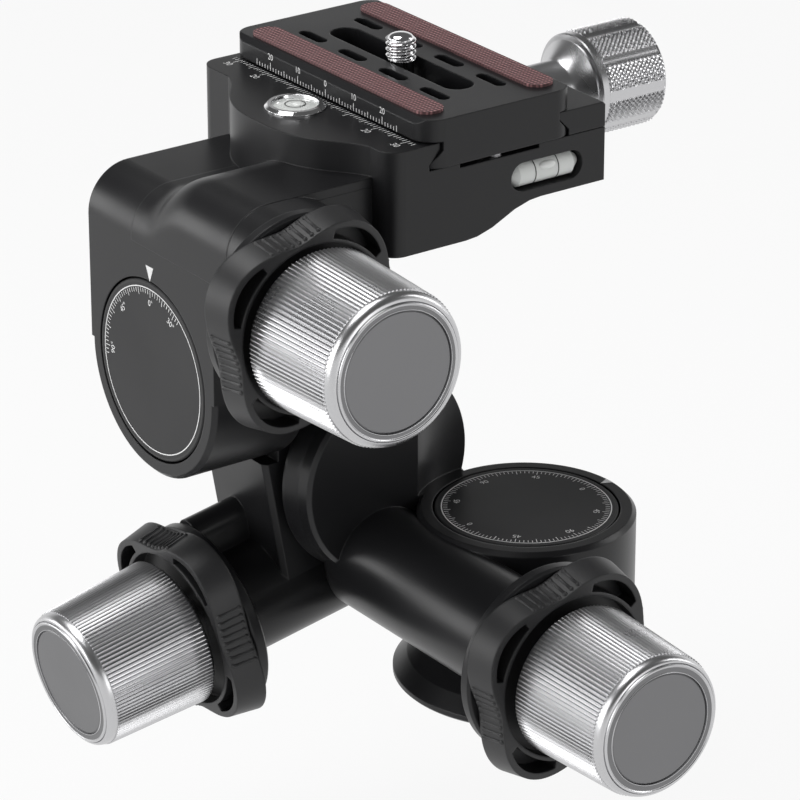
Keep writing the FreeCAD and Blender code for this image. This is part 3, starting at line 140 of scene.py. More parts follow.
def grained(name, color, metallic, rough_low, rough_high, grain, depth, bevel=0.0,
            specular=0.5, wear=0.0):
    """A finish with a broad change of roughness and a fine grain, where wear varies its colour."""
    mat, tree, shader = new_material(name)
    shader.inputs["Base Color"].default_value = (*color, 1.0)
    shader.inputs["Metallic"].default_value = metallic
    shader.inputs["Specular IOR Level"].default_value = specular
    broad = noise(tree, BROAD_SCALE, 3.0)
    tree.links.new(remap(tree, broad, rough_low, rough_high), shader.inputs["Roughness"])
    fine = noise(tree, grain, 2.0, 0.6)
    if wear > 0:
        mix = tree.nodes.new("ShaderNodeMix")
        mix.data_type = "RGBA"
        mix.inputs["A"].default_value = (*[c * (1 - wear) for c in color], 1.0)
        mix.inputs["B"].default_value = (*[min(1.0, c * (1 + wear)) for c in color], 1.0)
        tree.links.new(fine, mix.inputs["Factor"])
        tree.links.new(mix.outputs["Result"], shader.inputs["Base Color"])
    surface(tree, shader, fine, depth, 0.5, bevel)
    return mat


BLACK = grained("black_anodised", (0.011, 0.011, 0.012), 0.0, 0.28, 0.38, 5200.0, 0.00002,
                bevel=0.0004, specular=0.32, wear=0.15)
DIAL = grained("dial_black", (0.016, 0.016, 0.017), 0.0, 0.42, 0.52, 6500.0, 0.00001,
               bevel=0.0002, specular=0.32)
NYLON = grained("black_nylon", (0.018, 0.018, 0.019), 0.0, 0.36, 0.48, 3000.0, 0.00002,
                bevel=0.0006, specular=0.45, wear=0.2)
STEEL = grained("steel", (0.58, 0.58, 0.59), 1.0, 0.24, 0.36, 2500.0, 0.00001, bevel=0.0002)
BRONZE = grained("bronze", (0.60, 0.40, 0.20), 1.0, 0.28, 0.4, 2500.0, 0.00001, bevel=0.0002)
CHROME = grained("chrome", (0.82, 0.82, 0.83), 1.0, 0.07, 0.13, 900.0, 0.000004, bevel=0.0002)
SILVER = grained("silver_knob", (0.56, 0.56, 0.57), 1.0, 0.24, 0.34, 3500.0, 0.00001, wear=0.06)
INLAY = grained("grey_inlay", (0.20, 0.20, 0.205), 1.0, 0.38, 0.46, 6000.0, 0.00001,
                bevel=0.0002)
WHITE = grained("white_print", (0.78, 0.78, 0.78), 0.0, 0.5, 0.6, 4000.0, 0.000002)
DARK = grained("dark_line", (0.01, 0.01, 0.01), 0.0, 0.4, 0.5, 4000.0, 0.000002)


def woven():
    """Maroon rubber with a pattern of small bumps from two crossed waves."""
    mat, tree, shader = new_material("maroon_rubber")
    coords = coordinates(tree)
    weave = []
    for direction in ("X", "Y"):
        wave = tree.nodes.new("ShaderNodeTexWave")
        wave.wave_type = "BANDS"
        wave.bands_direction = direction
        wave.inputs["Scale"].default_value = WEAVE_SCALE
        wave.inputs["Distortion"].default_value = 0.4
        tree.links.new(coords, wave.inputs["Vector"])
        weave.append(wave.outputs["Fac"])
    both = tree.nodes.new("ShaderNodeMath")
    both.operation = "MULTIPLY"
    tree.links.new(weave[0], both.inputs[0])
    tree.links.new(weave[1], both.inputs[1])
    ramp = tree.nodes.new("ShaderNodeMix")
    ramp.data_type = "RGBA"
    ramp.inputs["A"].default_value = (0.07, 0.028, 0.030, 1.0)
    ramp.inputs["B"].default_value = (0.42, 0.20, 0.205, 1.0)
    tree.links.new(both.outputs["Value"], ramp.inputs["Factor"])
    tree.links.new(ramp.outputs["Result"], shader.inputs["Base Color"])
    shader.inputs["Roughness"].default_value = 0.6
    surface(tree, shader, both.outputs["Value"], 0.0002, 0.7)
    return mat


RUBBER = woven()


def clear(name, color, rough, transmission):
    """Acrylic or liquid that lets part of the light through."""
    mat, tree, shader = new_material(name)
    shader.inputs["Base Color"].default_value = (*color, 1.0)
    shader.inputs["Roughness"].default_value = rough
    shader.inputs["Transmission Weight"].default_value = transmission
    shader.inputs["IOR"].default_value = 1.49
    streak = noise(tree, STREAK_SCALE, 2.0)
    surface(tree, shader, streak, 0.00001, 0.3)
    return mat


VIAL = clear("vial", (0.88, 0.90, 0.88), 0.06, 0.12)
BUBBLE = clear("vial_bubble", (0.95, 0.97, 0.95), 0.05, 0.1)

SLOTS = {
    "black_anodised": BLACK, "steel": STEEL, "bronze": BRONZE, "silver_knob": SILVER,
    "grey_inlay": INLAY, "black_nylon": NYLON, "chrome": CHROME, "vial": VIAL,
    "maroon_rubber": RUBBER,
}

for sub in frame["record"]["subparts"]:
    obj = NODES[sub["node"]]
    obj.data.materials.clear()
    obj.data.materials.append(SLOTS[sub["material_slot"]])
for name in ("pan_dial", "roll_dial", "tilt_dial"):
    NODES[name].data.materials.clear()
    NODES[name].data.materials.append(DIAL)


# Mesh helpers

CENTRE = 0.02


def add_mesh(name, verts, faces, mat, body, place=WORLD, smooth=True, angle=40.0):
    """Object from points in millimetres, smooth up to an angle, riding on a body."""
    data = bpy.data.meshes.new(name)
    points = [(place @ Vector(v)) * MM for v in verts]
    data.from_pydata([tuple(p) for p in points], [], faces)
    data.update()
    data.materials.append(mat)
    obj = bpy.data.objects.new(name, data)
    bpy.context.scene.collection.objects.link(obj)
    if smooth:
        data.shade_smooth()
        data.set_sharp_from_angle(angle=math.radians(angle))
    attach(obj, body)
    return obj


def revolve_grid(profile, segments, radius_of):
    """Rings of points round Z, one per profile point. One at radius CENTRE closes an end."""
    verts = []
    faces = []
    for row, (radius, along) in enumerate(profile):
        for k in range(segments):
            angle = 2 * math.pi * k / segments
            r = radius_of(row, radius, angle, along)
            verts.append((r * math.cos(angle), r * math.sin(angle), along))
    rows = len(profile)
    for row in range(rows - 1):
        for k in range(segments):
            a = row * segments + k
            b = row * segments + (k + 1) % segments
            faces.append((a, b, b + segments, a + segments))
    return verts, faces


def same_radius(row, radius, angle, along):
    return radius


def boxed(low, high):
    verts = [(x, y, z) for x in (low[0], high[0]) for y in (low[1], high[1])
             for z in (low[2], high[2])]
    faces = [(0, 1, 3, 2), (4, 6, 7, 5), (0, 4, 5, 1), (2, 3, 7, 6), (0, 2, 6, 4), (1, 5, 7, 3)]
    return verts, faces


def gather(parts):
    """One set of points and faces from several."""
    verts = []
    faces = []
    for part_verts, part_faces in parts:
        shift = len(verts)
        verts += part_verts
        faces += [tuple(index + shift for index in face) for face in part_faces]
    return verts, faces


def moved(part, matrix):
    return [tuple(matrix @ Vector(v)) for v in part[0]], part[1]


# Drive knobs with straight knurling

KNURL_RIBS = 112
KNURL_DEPTH = 0.44
KNURL_START = 1.3
KNURL_ROWS = 6
POINTS_PER_RIB = 5
KNOB_START = 47.4
KNOB_LENGTH = 26.8
KNOB_BORE = 3.1
KNOB_ROUND_ROWS = 7
KNOB_BASE = 16.2
KNOB_RIM = 15.2
KNOB_LIP = 13.6
KNOB_DISC = 11.82
DISC_DEPTH = 1.0
TILT_KNOB_EXTRA = 0.9


def knob_profile(extra):
    """Radius, place along the axis, whether the ring is knurled and whether it is flat grey."""
    base = KNOB_BASE + extra
    rim = KNOB_RIM + extra
    lip = KNOB_LIP + extra * 0.5
    disc = KNOB_DISC + extra * 0.8
    bevel = KNOB_LENGTH - 2.5
    end = KNOB_LENGTH
    rows = [(KNOB_BORE, 0.0, 0, 0), (6.5, 0.0, 0, 0), (6.5, 1.0, 0, 0), (base - 3.2, 1.0, 0, 0),
            (base - 3.2, 0.4, 0, 0), (base - 0.9, 0.4, 0, 0), (base - 0.45, 0.8, 0, 0)]
    for step in range(KNURL_ROWS + 1):
        share = step / KNURL_ROWS
        rows.append((base + (rim - base) * share,
                     KNURL_START + (bevel - KNURL_START) * share, 1, 0))
    rows.append((rim - 0.30, bevel + 0.06, 0, 0))
    for step in range(KNOB_ROUND_ROWS + 1):
        turn = math.pi / 2 * step / KNOB_ROUND_ROWS
        rows.append((lip + 0.25 + (rim - 0.30 - lip - 0.25) * math.cos(turn),
                     bevel + 0.3 + (end - 0.35 - bevel - 0.3) * math.sin(turn), 0, 0))
    rows += [(lip + 0.15, end - 0.55, 0, 0), (lip + 0.02, end - 0.10, 0, 0),
             (lip - 0.14, end, 0, 0), (lip - 0.34, end, 0, 0), (lip - 0.46, end - 0.14, 0, 0),
             (lip - 0.56, end - 0.16, 0, 1), (disc + 0.20, end - 0.16, 0, 0),
             (disc + 0.13, end - 0.04, 0, 0), (disc + 0.04, end - 0.06, 0, 0),
             (disc, end - 0.3, 0, 0), (disc, end - DISC_DEPTH, 0, 0),
             (CENTRE, end - DISC_DEPTH, 0, 0)]
    return rows


def drive_knob(unit, extra):
    """Silver knob with pointed ribs and a grey ring, its radius larger by extra."""
    rows = knob_profile(extra)

    def radius_of(row, radius, angle, along):
        if not rows[row][2]:
            return radius
        wave = (angle * KNURL_RIBS / (2 * math.pi)) % 1.0
        tooth = 1.0 - abs(2.0 * wave - 1.0)
        return radius - KNURL_DEPTH * (1.0 - min(1.0, tooth * 1.25))

    segments = KNURL_RIBS * POINTS_PER_RIB
    plain = [(row[0], row[1] + KNOB_START) for row in rows]
    verts, faces = revolve_grid(plain, segments, radius_of)
    knob = add_mesh(unit + "_knob_knurled", verts, faces, SILVER,
                    unit + "_drive", DRIVES[unit], angle=28.0)
    knob.data.materials.append(INLAY)
    for number, (_, _, _, grey) in enumerate(rows):
        if grey:
            for face in range(number * segments, (number + 1) * segments):
                knob.data.polygons[face].material_index = 1
    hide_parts(unit + "_knob")


for unit, extra in (("pan", 0.0), ("roll", 0.0), ("tilt", TILT_KNOB_EXTRA)):
    drive_knob(unit, extra)


# Grip ribs in the scallops of the release collars

COLLAR_LOW = 40.3
COLLAR_DEPTH = 6.5
COLLAR_DRAW = 1.2
SCALLOPS = 4
SCALLOP_ANGLE = 13.0
SCALLOP_RADIUS = 19.5
LOBE_RISE = 4.3
RIBS_PER_SCALLOP = 8
RIB_STEP = 4.7
RIB_HALF = 0.36
RIB_RISE = 0.34
RIB_ACROSS = ((-1.25, -0.2), (-0.75, 0.75), (0.0, 1.0), (0.75, 0.75), (1.25, -0.2))
RIB_END = ((0.05, 0.3, 0.0), (0.075, 0.8, 0.8), (0.11, 1.25, 1.35), (0.15, 1.25, 1.35),
           (0.19, 0.8, 0.9))


def collar_radius(angle, along):
    """Radius of the collar's four lobes, which draw in towards the knob."""
    wave = 0.5 - 0.5 * math.cos(SCALLOPS * (angle - math.radians(SCALLOP_ANGLE)))
    shrink = COLLAR_DRAW * (along - COLLAR_LOW) / COLLAR_DEPTH
    return SCALLOP_RADIUS + LOBE_RISE * wave ** 0.85 - shrink


def rib_row(angle, along, half, rise):
    """Points across one rib, from its root on one side to its root on the other."""
    radius = collar_radius(angle, along)
    row = []
    for side, lift in RIB_ACROSS:
        r = radius + lift * rise
        w = side * half
        row.append((r * math.cos(angle) - w * math.sin(angle),
                    r * math.sin(angle) + w * math.cos(angle), along))
    return row


def collar_rib(angle):
    """A long ridge with a small round pip at each end."""
    far_end = [(1.0 - share, half, rise) for share, half, rise in reversed(RIB_END)]
    stations = list(RIB_END) + far_end
    verts = []
    for share, half, rise in stations:
        verts += rib_row(angle, COLLAR_LOW + COLLAR_DEPTH * share, RIB_HALF * half,
                         RIB_RISE * rise)
    faces = []
    count = len(RIB_ACROSS)
    for row in range(len(stations) - 1):
        for k in range(count - 1):
            a = row * count + k
            faces.append((a, a + 1, a + count + 1, a + count))
    return verts, faces


for unit in ("pan", "roll", "tilt"):
    ribs = []
    for scallop in range(SCALLOPS):
        for number in range(RIBS_PER_SCALLOP):
            turn = (number - (RIBS_PER_SCALLOP - 1) / 2) * RIB_STEP
            middle = SCALLOP_ANGLE + 360.0 / SCALLOPS * scallop
            ribs.append(collar_rib(math.radians(middle + turn)))
    verts, faces = gather(ribs)
    add_mesh(unit + "_collar_ribs", verts, faces, NYLON, unit + "_release",
             DRIVES[unit], angle=50.0)


# Clamp knob with diamond knurling between smooth flutes

CLAMP_KNOB_START = 22.4
CLAMP_NECK_END = 34.6
CLAMP_GRIP = 40.4
CLAMP_KNOB_END = 56.8
CLAMP_NECK = 6.3
CLAMP_RADIUS = 11.7
FLUTES = 9
FLUTE_HALF = 1.25
DIAMONDS = 63
DIAMOND_DEPTH = 0.62
POINTS_PER_DIAMOND = 6
FLARE_ROWS = 10
GRIP_ROWS = 84


def clamp_knob():
    neck = CLAMP_NECK_END - CLAMP_KNOB_START
    grip = CLAMP_GRIP - CLAMP_KNOB_START
    end = CLAMP_KNOB_END - CLAMP_KNOB_START
    profile = [(3.02, 0.0, 0), (CLAMP_NECK - 1.0, 0.0, 0), (CLAMP_NECK, 0.6, 0)]
    for step in range(FLARE_ROWS + 1):
        share = step / FLARE_ROWS
        profile.append((CLAMP_NECK + (CLAMP_RADIUS - CLAMP_NECK) * 0.68 * share ** 1.35,
                        neck + (grip - neck) * 0.67 * share, 0))
    profile += [(CLAMP_RADIUS - 1.9, grip - 1.6, 0), (CLAMP_RADIUS - 0.7, grip - 1.3, 0),
                (CLAMP_RADIUS - 0.45, grip - 1.05, 0), (CLAMP_RADIUS - 0.4, grip + 0.45, 0),
                (CLAMP_RADIUS - 0.55, grip + 0.6, 0)]
    for step in range(GRIP_ROWS + 1):
        profile.append((CLAMP_RADIUS, grip + 0.7 + (end - grip - 1.7) * step / GRIP_ROWS, 1))
    profile += [(CLAMP_RADIUS - 0.5, end - 0.8, 0), (CLAMP_RADIUS - 1.3, end - 0.1, 0),
                (CLAMP_RADIUS - 1.6, end, 0), (CENTRE, end, 0)]
    pitch = 2 * math.pi * CLAMP_RADIUS / DIAMONDS

    def radius_of(row, base, angle, along):
        if not profile[row][2]:
            return base
        phase = (angle * FLUTES / (2 * math.pi)) % 1.0 - 0.5
        offset = abs(phase) * 2 * math.pi / FLUTES * base
        if offset < FLUTE_HALF:
            return base - 0.45 - 0.25 * math.cos(offset / FLUTE_HALF * math.pi / 2)
        turn = angle * DIAMONDS / (2 * math.pi)
        rise = along / pitch
        first = abs(((turn + rise) % 1.0) - 0.5) * 2
        second = abs(((turn - rise) % 1.0) - 0.5) * 2
        return base - DIAMOND_DEPTH * (1 - min(first, second))

    verts, faces = revolve_grid([p[:2] for p in profile], DIAMONDS * POINTS_PER_DIAMOND,
                                radius_of)
    place = frame_matrix((CLAMP_KNOB_START, CENTRE_Y, SCREW_Z), (0, 1, 0), (0, 0, 1), (1, 0, 0))
    knob = add_mesh("clamp_knob_knurled", verts, faces, SILVER, "clamp_drive",
                    place, angle=30.0)
    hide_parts("clamp_knob")


clamp_knob()


# Camera screw with its thread

THREAD_PITCH = 1.27
THREAD_RADIUS = 3.17
THREAD_LENGTH = 5.6
THREAD_DEPTH = 0.62
THREAD_ROWS = 64
DOME_RISE = 1.2
DOME_ROWS = 6
SCREW_HEAD = 5.0
SCREW_NECK = 2.7
SCREW_DEPTH = 6.82


def camera_screw():
    """A quarter inch screw with coarse rounded threads and a domed tip."""
    profile = [(CENTRE, 0.0, 0), (SCREW_HEAD - 0.2, 0.0, 0), (SCREW_HEAD, 0.2, 0),
               (SCREW_HEAD, 2.0, 0), (SCREW_HEAD - 0.2, 2.2, 0), (SCREW_NECK, 2.2, 0),
               (SCREW_NECK, SCREW_DEPTH, 0)]
    low = SCREW_DEPTH + 0.02
    high = SCREW_DEPTH + THREAD_LENGTH - DOME_RISE
    for step in range(THREAD_ROWS + 1):
        profile.append((THREAD_RADIUS, low + (high - low) * step / THREAD_ROWS, 1))
    dome = THREAD_RADIUS - 0.45
    for step in range(DOME_ROWS + 1):
        turn = math.pi / 2 * step / DOME_ROWS
        profile.append((max(CENTRE, dome * math.cos(turn)),
                        high + DOME_RISE * math.sin(turn), 0))

    def radius_of(row, base, angle, along):
        if not profile[row][2]:
            return base
        phase = (along / THREAD_PITCH - angle / (2 * math.pi)) % 1.0
        tooth = 1.0 - abs(2 * phase - 1.0)
        return base - THREAD_DEPTH * (1.0 - min(1.0, tooth * 1.5))

    verts, faces = revolve_grid([p[:2] for p in profile], 56, radius_of)
    place = Matrix.Translation((PLATE_X, CENTRE_Y, PLATE_TOP - SCREW_DEPTH))
    screw = add_mesh("camera_screw_threaded", verts, faces, CHROME, "screw_body",
                     place, angle=35.0)
    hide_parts("camera_screw")


camera_screw()


# Printed rings, ticks and digits

PRINT_RISE = 0.02
TICK_WIDTH = 0.16
RING_SEGMENTS = 128
QUARTER_TURN = Matrix.Rotation(math.radians(90.0), 4, "Z")
DIGIT_TURN = Matrix.Rotation(math.radians(-90.0), 4, "Z")


def ring_band(radius, width, height=PRINT_RISE, segments=RING_SEGMENTS):
    verts = []
    faces = []
    for k in range(segments):
        angle = math.radians(360.0 * k / segments)
        for r in (radius - width / 2, radius + width / 2):
            verts.append((r * math.cos(angle), r * math.sin(angle), height))
        a = 2 * k
        b = 2 * ((k + 1) % segments)
        faces.append((a, a + 1, b + 1, b))
    return verts, faces


def tick(angle, outer, length):
    c = math.cos(math.radians(angle))
    s = math.sin(math.radians(angle))
    verts = []
    for r in (outer - length, outer):
        for w in (-TICK_WIDTH / 2, TICK_WIDTH / 2):
            verts.append((r * c - w * s, r * s + w * c, PRINT_RISE))
    return verts, [(0, 2, 3, 1)]


def words(text, size, matrix):
    """Flat faces of a short text, centred on the matrix."""
    curve = bpy.data.curves.new("digits", "FONT")
    curve.body = text
    curve.size = size
    curve.align_x = "CENTER"
    curve.align_y = "CENTER"
    curve.resolution_u = 3
    temp = bpy.data.objects.new("digits", curve)
    bpy.context.scene.collection.objects.link(temp)
    bpy.context.view_layer.update()
    data = temp.to_mesh()
    verts = [tuple(matrix @ Vector((v.co.x, v.co.y, v.co.z))) for v in data.vertices]
    faces = [tuple(p.vertices) for p in data.polygons]
    temp.to_mesh_clear()
    bpy.data.objects.remove(temp)
    bpy.data.curves.remove(curve)
    return verts, faces


def facing(angle, radius):
    """Place on a dial where a digit stands with its foot to the centre."""
    place = Matrix.Rotation(math.radians(angle), 4, "Z")
    return place @ Matrix.Translation((radius, 0, PRINT_RISE)) @ DIGIT_TURN


DIAL_RING = 17.8
DIAL_TICKS = 17.5
DIAL_DIGITS = 14.7
DIAL_GROOVE = 18.75
DIGIT_SIZE = 1.9
LONG_TICK = 1.5
SHORT_TICK = 0.95


def dial_print(name, place, body, labels, first, last, zero):
    """White ring with a tick every three degrees, longer every fifteen, and a dark ring of painted
    shade over the groove round the dial.
    """
    parts = [ring_band(DIAL_RING, 0.24)]
    for angle in range(first, last + 1, 3):
        parts.append(tick(zero - angle, DIAL_TICKS, SHORT_TICK if angle % 15 else LONG_TICK))
    for value, at in labels:
        parts.append(words(value, DIGIT_SIZE, facing(zero - at, DIAL_DIGITS)))
    verts, faces = gather(parts)
    add_mesh(name, verts, faces, WHITE, body, place, False)
    # Painted shade: a flat dark ring over the gap round the dial stands in for the shadow inside
    # the groove.
    verts, faces = ring_band(DIAL_GROOVE, 0.32, 0.015)
    add_mesh(name + "_groove_painted_shade", verts, faces, DARK, body, place, False)


def triangle(place, body, name, base_radius, tip_radius, half=1.05):
    verts = [(base_radius, -half, PRINT_RISE), (base_radius, half, PRINT_RISE),
             (tip_radius, 0, PRINT_RISE)]
    add_mesh(name, verts, [(0, 1, 2)], WHITE, body, place, False)


def degree_labels(angles):
    return [(str(abs(angle)) + "\u00b0", angle) for angle in angles]


PAN_DIAL = Matrix.Translation((0, 0, 38.0))
TILT_DIAL = frame_matrix((TILT_FACE, CENTRE_Y, TILT_Z), (0, -1, 0), (0, 0, 1), (-1, 0, 0))
ROLL_DIAL = frame_matrix((ROLL_X, 51.0, ROLL_Z), (-LC, 0, -LS), (-LS, 0, LC), (0, 1, 0))

FULL_CIRCLE = [(str(value), 45 * number) for number, value in enumerate((0, 45, 90, 45) * 2)]

dial_print("pan_dial_print", PAN_DIAL, "base", FULL_CIRCLE, 0, 357, 0.0)
dial_print("roll_dial_print", ROLL_DIAL, "pan_body", degree_labels((-30, -15, 0, 15, 30)),
           -45, 45, 90.0)
dial_print("tilt_dial_print", TILT_DIAL, "roll_body", degree_labels((-90, -45, 0, 30)),
           -96, 36, 90.0)
triangle(PAN_DIAL, "pan_body", "pan_index", 22.0, 19.6)
triangle(TILT_DIAL @ QUARTER_TURN, "tilt_body", "tilt_index", 22.8, 19.5, 1.4)
triangle(ROLL_DIAL @ QUARTER_TURN, "roll_body", "roll_index", 22.0, 20.1)


def scale_length(number):
    """Long marks every ten millimetres, middle ones every five."""
    if number % 10 == 0:
        return 2.4
    return 1.8 if number % 5 == 0 else 1.2


JAW_SCALE_X = -24.9
JAW_MARKS = 32
JAW_DIGIT_SIZE = 2.2
JAW_DIGITS_X = JAW_SCALE_X - 3.7
PLATE_SIDE_X = PLATE_X - 19.02
PLATE_MARKS = 25
PLATE_MARKS_Z = JAW_TOP + 0.5
PLATE_DIGITS_Z = JAW_TOP + 3.4
MARK_HALF = 0.09


def scales():
    """Millimetre scales on the jaw's top and on the side of the plate."""
    jaw = []
    for number in range(-JAW_MARKS, JAW_MARKS + 1):
        y = CENTRE_Y + number
        jaw.append(boxed((JAW_SCALE_X - scale_length(number), y - MARK_HALF, JAW_TOP + 0.01),
                         (JAW_SCALE_X, y + MARK_HALF, JAW_TOP + 0.03)))
    for number in (-30, -20, 20, 30):
        at = Matrix.Translation((JAW_DIGITS_X, CENTRE_Y + number, JAW_TOP + PRINT_RISE))
        jaw.append(words(str(abs(number)), JAW_DIGIT_SIZE, at @ DIGIT_TURN))
    side = []
    for number in range(-PLATE_MARKS, PLATE_MARKS + 1):
        y = CENTRE_Y + number
        side.append(boxed((PLATE_SIDE_X, y - MARK_HALF, PLATE_MARKS_Z),
                          (PLATE_SIDE_X + PRINT_RISE, y + MARK_HALF,
                           PLATE_MARKS_Z + 0.7 * scale_length(number))))
    for number in (-20, -10, 0, 10, 20):
        at = frame_matrix((PLATE_SIDE_X, CENTRE_Y + number, PLATE_DIGITS_Z),
                          (0, -1, 0), (0, 0, 1), (-1, 0, 0))
        side.append(words(str(abs(number)), DIGIT_SIZE, at))
    verts, faces = gather(jaw)
    add_mesh("jaw_scale", verts, faces, WHITE, "tilt_body", WORLD, False)
    verts, faces = gather(side)
    add_mesh("plate_scale", verts, faces, WHITE, "plate_body", WORLD, False)


scales()


# Marks and bubbles of the two levels

TUBE_LEVEL = frame_matrix((6.5, CLAMP_FRONT + 2.7, 110.6), (0, 1, 0), (0, 0, 1), (1, 0, 0))
TUBE_RADIUS = 2.8
TUBE_MARK = 2.9
TUBE_MARK_WIDTH = 0.22
BUBBLE_RADIUS = 0.95
BUBBLE_HALF = 2.1
BUBBLE_ROWS = 10
ROUND_BUBBLE = [(1.25, 0.0), (1.15, 0.12), (0.85, 0.22), (0.4, 0.28), (CENTRE, 0.3)]
ROUND_LEVEL = (-32.1, CENTRE_Y, JAW_TOP + 0.69)


def tube_band(along):
    """Dark line round the glass, just outside it."""
    low = along - TUBE_MARK_WIDTH / 2
    high = along + TUBE_MARK_WIDTH / 2
    return revolve_grid([(TUBE_RADIUS + 0.02, low), (TUBE_RADIUS + 0.06, low),
                         (TUBE_RADIUS + 0.06, high), (TUBE_RADIUS + 0.02, high)], 48,
                        same_radius)


def tube_bubble():
    """A long bubble lying just under the glass, seen through the window."""
    profile = []
    for step in range(BUBBLE_ROWS + 1):
        turn = math.pi * step / BUBBLE_ROWS
        profile.append((max(CENTRE, BUBBLE_RADIUS * math.sin(turn) ** 0.6),
                        -BUBBLE_HALF * math.cos(turn)))
    shape = revolve_grid(profile, 24, same_radius)
    return moved(shape, Matrix.Translation((-2.12, 1.1, 0.2)))


def level_marks():
    verts, faces = gather([tube_band(-TUBE_MARK), tube_band(TUBE_MARK)])
    add_mesh("tube_level_marks", verts, faces, DARK, "tilt_body", TUBE_LEVEL, False)
    verts, faces = tube_bubble()
    add_mesh("tube_level_bubble", verts, faces, BUBBLE, "tilt_body", TUBE_LEVEL)
    here = Matrix.Translation(ROUND_LEVEL)
    verts, faces = moved(ring_band(2.1, 0.2, 0.0, 48), here)
    add_mesh("round_level_mark", verts, faces, DARK, "tilt_body", WORLD, False)
    shape = revolve_grid(ROUND_BUBBLE, 32, same_radius)
    verts, faces = moved(shape, Matrix.Translation((0.5, -0.4, -0.02)))
    add_mesh("round_level_bubble", verts, faces, BUBBLE, "tilt_body", here)


level_marks()


# Blend between the shoulders of the tilt housing, and the saddle over its tube

SHOULDER_HIGH = 116.0
SHOULDER_LOW = 110.0
SHOULDER_ROUND = 9.8
STEP_START = 25.5
STEP_ROUND = 14.6
STEP_HOLLOW = 9.0
SHOULDER_FLOOR = 99.5
SHOULDER_RIGHT = -32.0
SKIN = 0.04
SHELL = 2.0
BLEND_START = 8.9
BLEND_END = 44.0
BLEND_ROWS = 60
SADDLE_PLACES = (0.32, 3.0, 6.0, 9.1)
SADDLE_RIGHT = -40.0
SADDLE_ROUND = 13.0
TUBE_INSIDE = 11.0
ARC_STEPS = 12


def step_ends():
    """Where the round of the step meets its hollow, and where the hollow runs out."""
    span = STEP_ROUND + STEP_HOLLOW
    tall = SHOULDER_LOW + STEP_HOLLOW - (SHOULDER_HIGH - STEP_ROUND)
    run = math.sqrt(span ** 2 - tall ** 2)
    return STEP_START + run * STEP_ROUND / span, STEP_START + run


def shoulder_top(y):
    """Height of the housing's top at a place along its step."""
    meet, end = step_ends()
    if y <= STEP_START:
        return SHOULDER_HIGH
    if y < meet:
        return SHOULDER_HIGH - STEP_ROUND + math.sqrt(STEP_ROUND ** 2 - (y - STEP_START) ** 2)
    if y < end:
        return SHOULDER_LOW + STEP_HOLLOW - math.sqrt(STEP_HOLLOW ** 2 - (end - y) ** 2)
    return SHOULDER_LOW


def corner_arc(x, z, radius, first, last):
    points = []
    for step in range(ARC_STEPS + 1):
        turn = math.radians(first + (last - first) * step / ARC_STEPS)
        points.append((x + radius * math.cos(turn), z + radius * math.sin(turn)))
    return points


def loft(sections):
    """Closed shape through outlines in X and Z, one for each place along Y."""
    verts = []
    faces = []
    count = len(sections[0][1])
    for y, outline in sections:
        verts += [(x, y, z) for x, z in outline]
    for row in range(len(sections) - 1):
        for k in range(count):
            a = row * count + k
            b = row * count + (k + 1) % count
            faces.append((a, a + count, b + count, b))
    faces.append(tuple(range(count)))
    faces.append(tuple(reversed(range((len(sections) - 1) * count, len(sections) * count))))
    return verts, faces


def face_round(face, top):
    """The long round between the dial face and a top, from the face upwards."""
    return corner_arc(face + SHOULDER_ROUND, top - SHOULDER_ROUND, SHOULDER_ROUND, 180.0, 90.0)


def shoulder_blend():
    """Thin shell over the step, and a saddle that leaves room for the worm's sleeve."""
    face = TILT_FACE - SKIN
    sections = []
    for row in range(BLEND_ROWS + 1):
        y = BLEND_START + (BLEND_END - BLEND_START) * row / BLEND_ROWS
        top = shoulder_top(y) + SKIN
        outline = [(face, SHOULDER_FLOOR)] + face_round(face, top)
        outline += [(SHOULDER_RIGHT, top), (SHOULDER_RIGHT, top - SHELL),
                    (face + SHOULDER_ROUND - SHELL, top - SHELL),
                    (face + SHELL / 2, SHOULDER_FLOOR)]
        sections.append((y, outline))
    top = SHOULDER_HIGH + SKIN
    outline = [(face, SHOULDER_FLOOR)] + face_round(face, top)
    outline += corner_arc(SADDLE_RIGHT - SADDLE_ROUND, top - SADDLE_ROUND, SADDLE_ROUND,
                          90.0, 0.0)
    outline.append((SADDLE_RIGHT, SHOULDER_FLOOR))
    outline += corner_arc(TILT_PLANE, TILT_Z + GEAR_DISTANCE, TUBE_INSIDE, 15.0, 125.0)
    outline.append((face + SHELL / 2, SHOULDER_FLOOR))
    saddle = [(y, outline) for y in SADDLE_PLACES]
    verts, faces = gather([loft(sections), loft(saddle)])
    add_mesh("tilt_shoulder_blend", verts, faces, BLACK, "tilt_body",
             angle=35.0)
    tucked_housing(face)


def tucked_housing(face):
    """The tilt housing with the flat end of its step drawn in under the blend."""
    source = NODES["tilt_housing"]
    data = source.data.copy()
    for vertex in data.vertices:
        x, y, z = vertex.co / MM
        top = shoulder_top(y)
        middle = Vector((face + SHOULDER_ROUND, top - SHOULDER_ROUND))
        away = Vector((x, z)) - middle
        near_step = STEP_START - STEP_ROUND - 0.1 < y < STEP_START + STEP_ROUND + 0.1
        outside = away.x < 0 and away.y > 0 and away.length > SHOULDER_ROUND - SKIN
        if near_step and outside and abs(x - TILT_FACE) < SKIN / 2:
            vertex.co.z = (top - SHOULDER_ROUND) * MM
        elif near_step and outside:
            drawn = middle + away.normalized() * (SHOULDER_ROUND - 4 * SKIN)
            vertex.co = Vector((drawn.x, y, drawn.y)) * MM
    housing = bpy.data.objects.new("tilt_housing_tucked", data)
    bpy.context.scene.collection.objects.link(housing)
    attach(housing, "tilt_body")
    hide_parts("tilt_housing")


shoulder_blend()


# Knurled stop pin under the end of the plate

PIN_RIBS = 24
PIN_PLACE = (PLATE_X, CLAMP_FRONT + 1.9, 116.15)


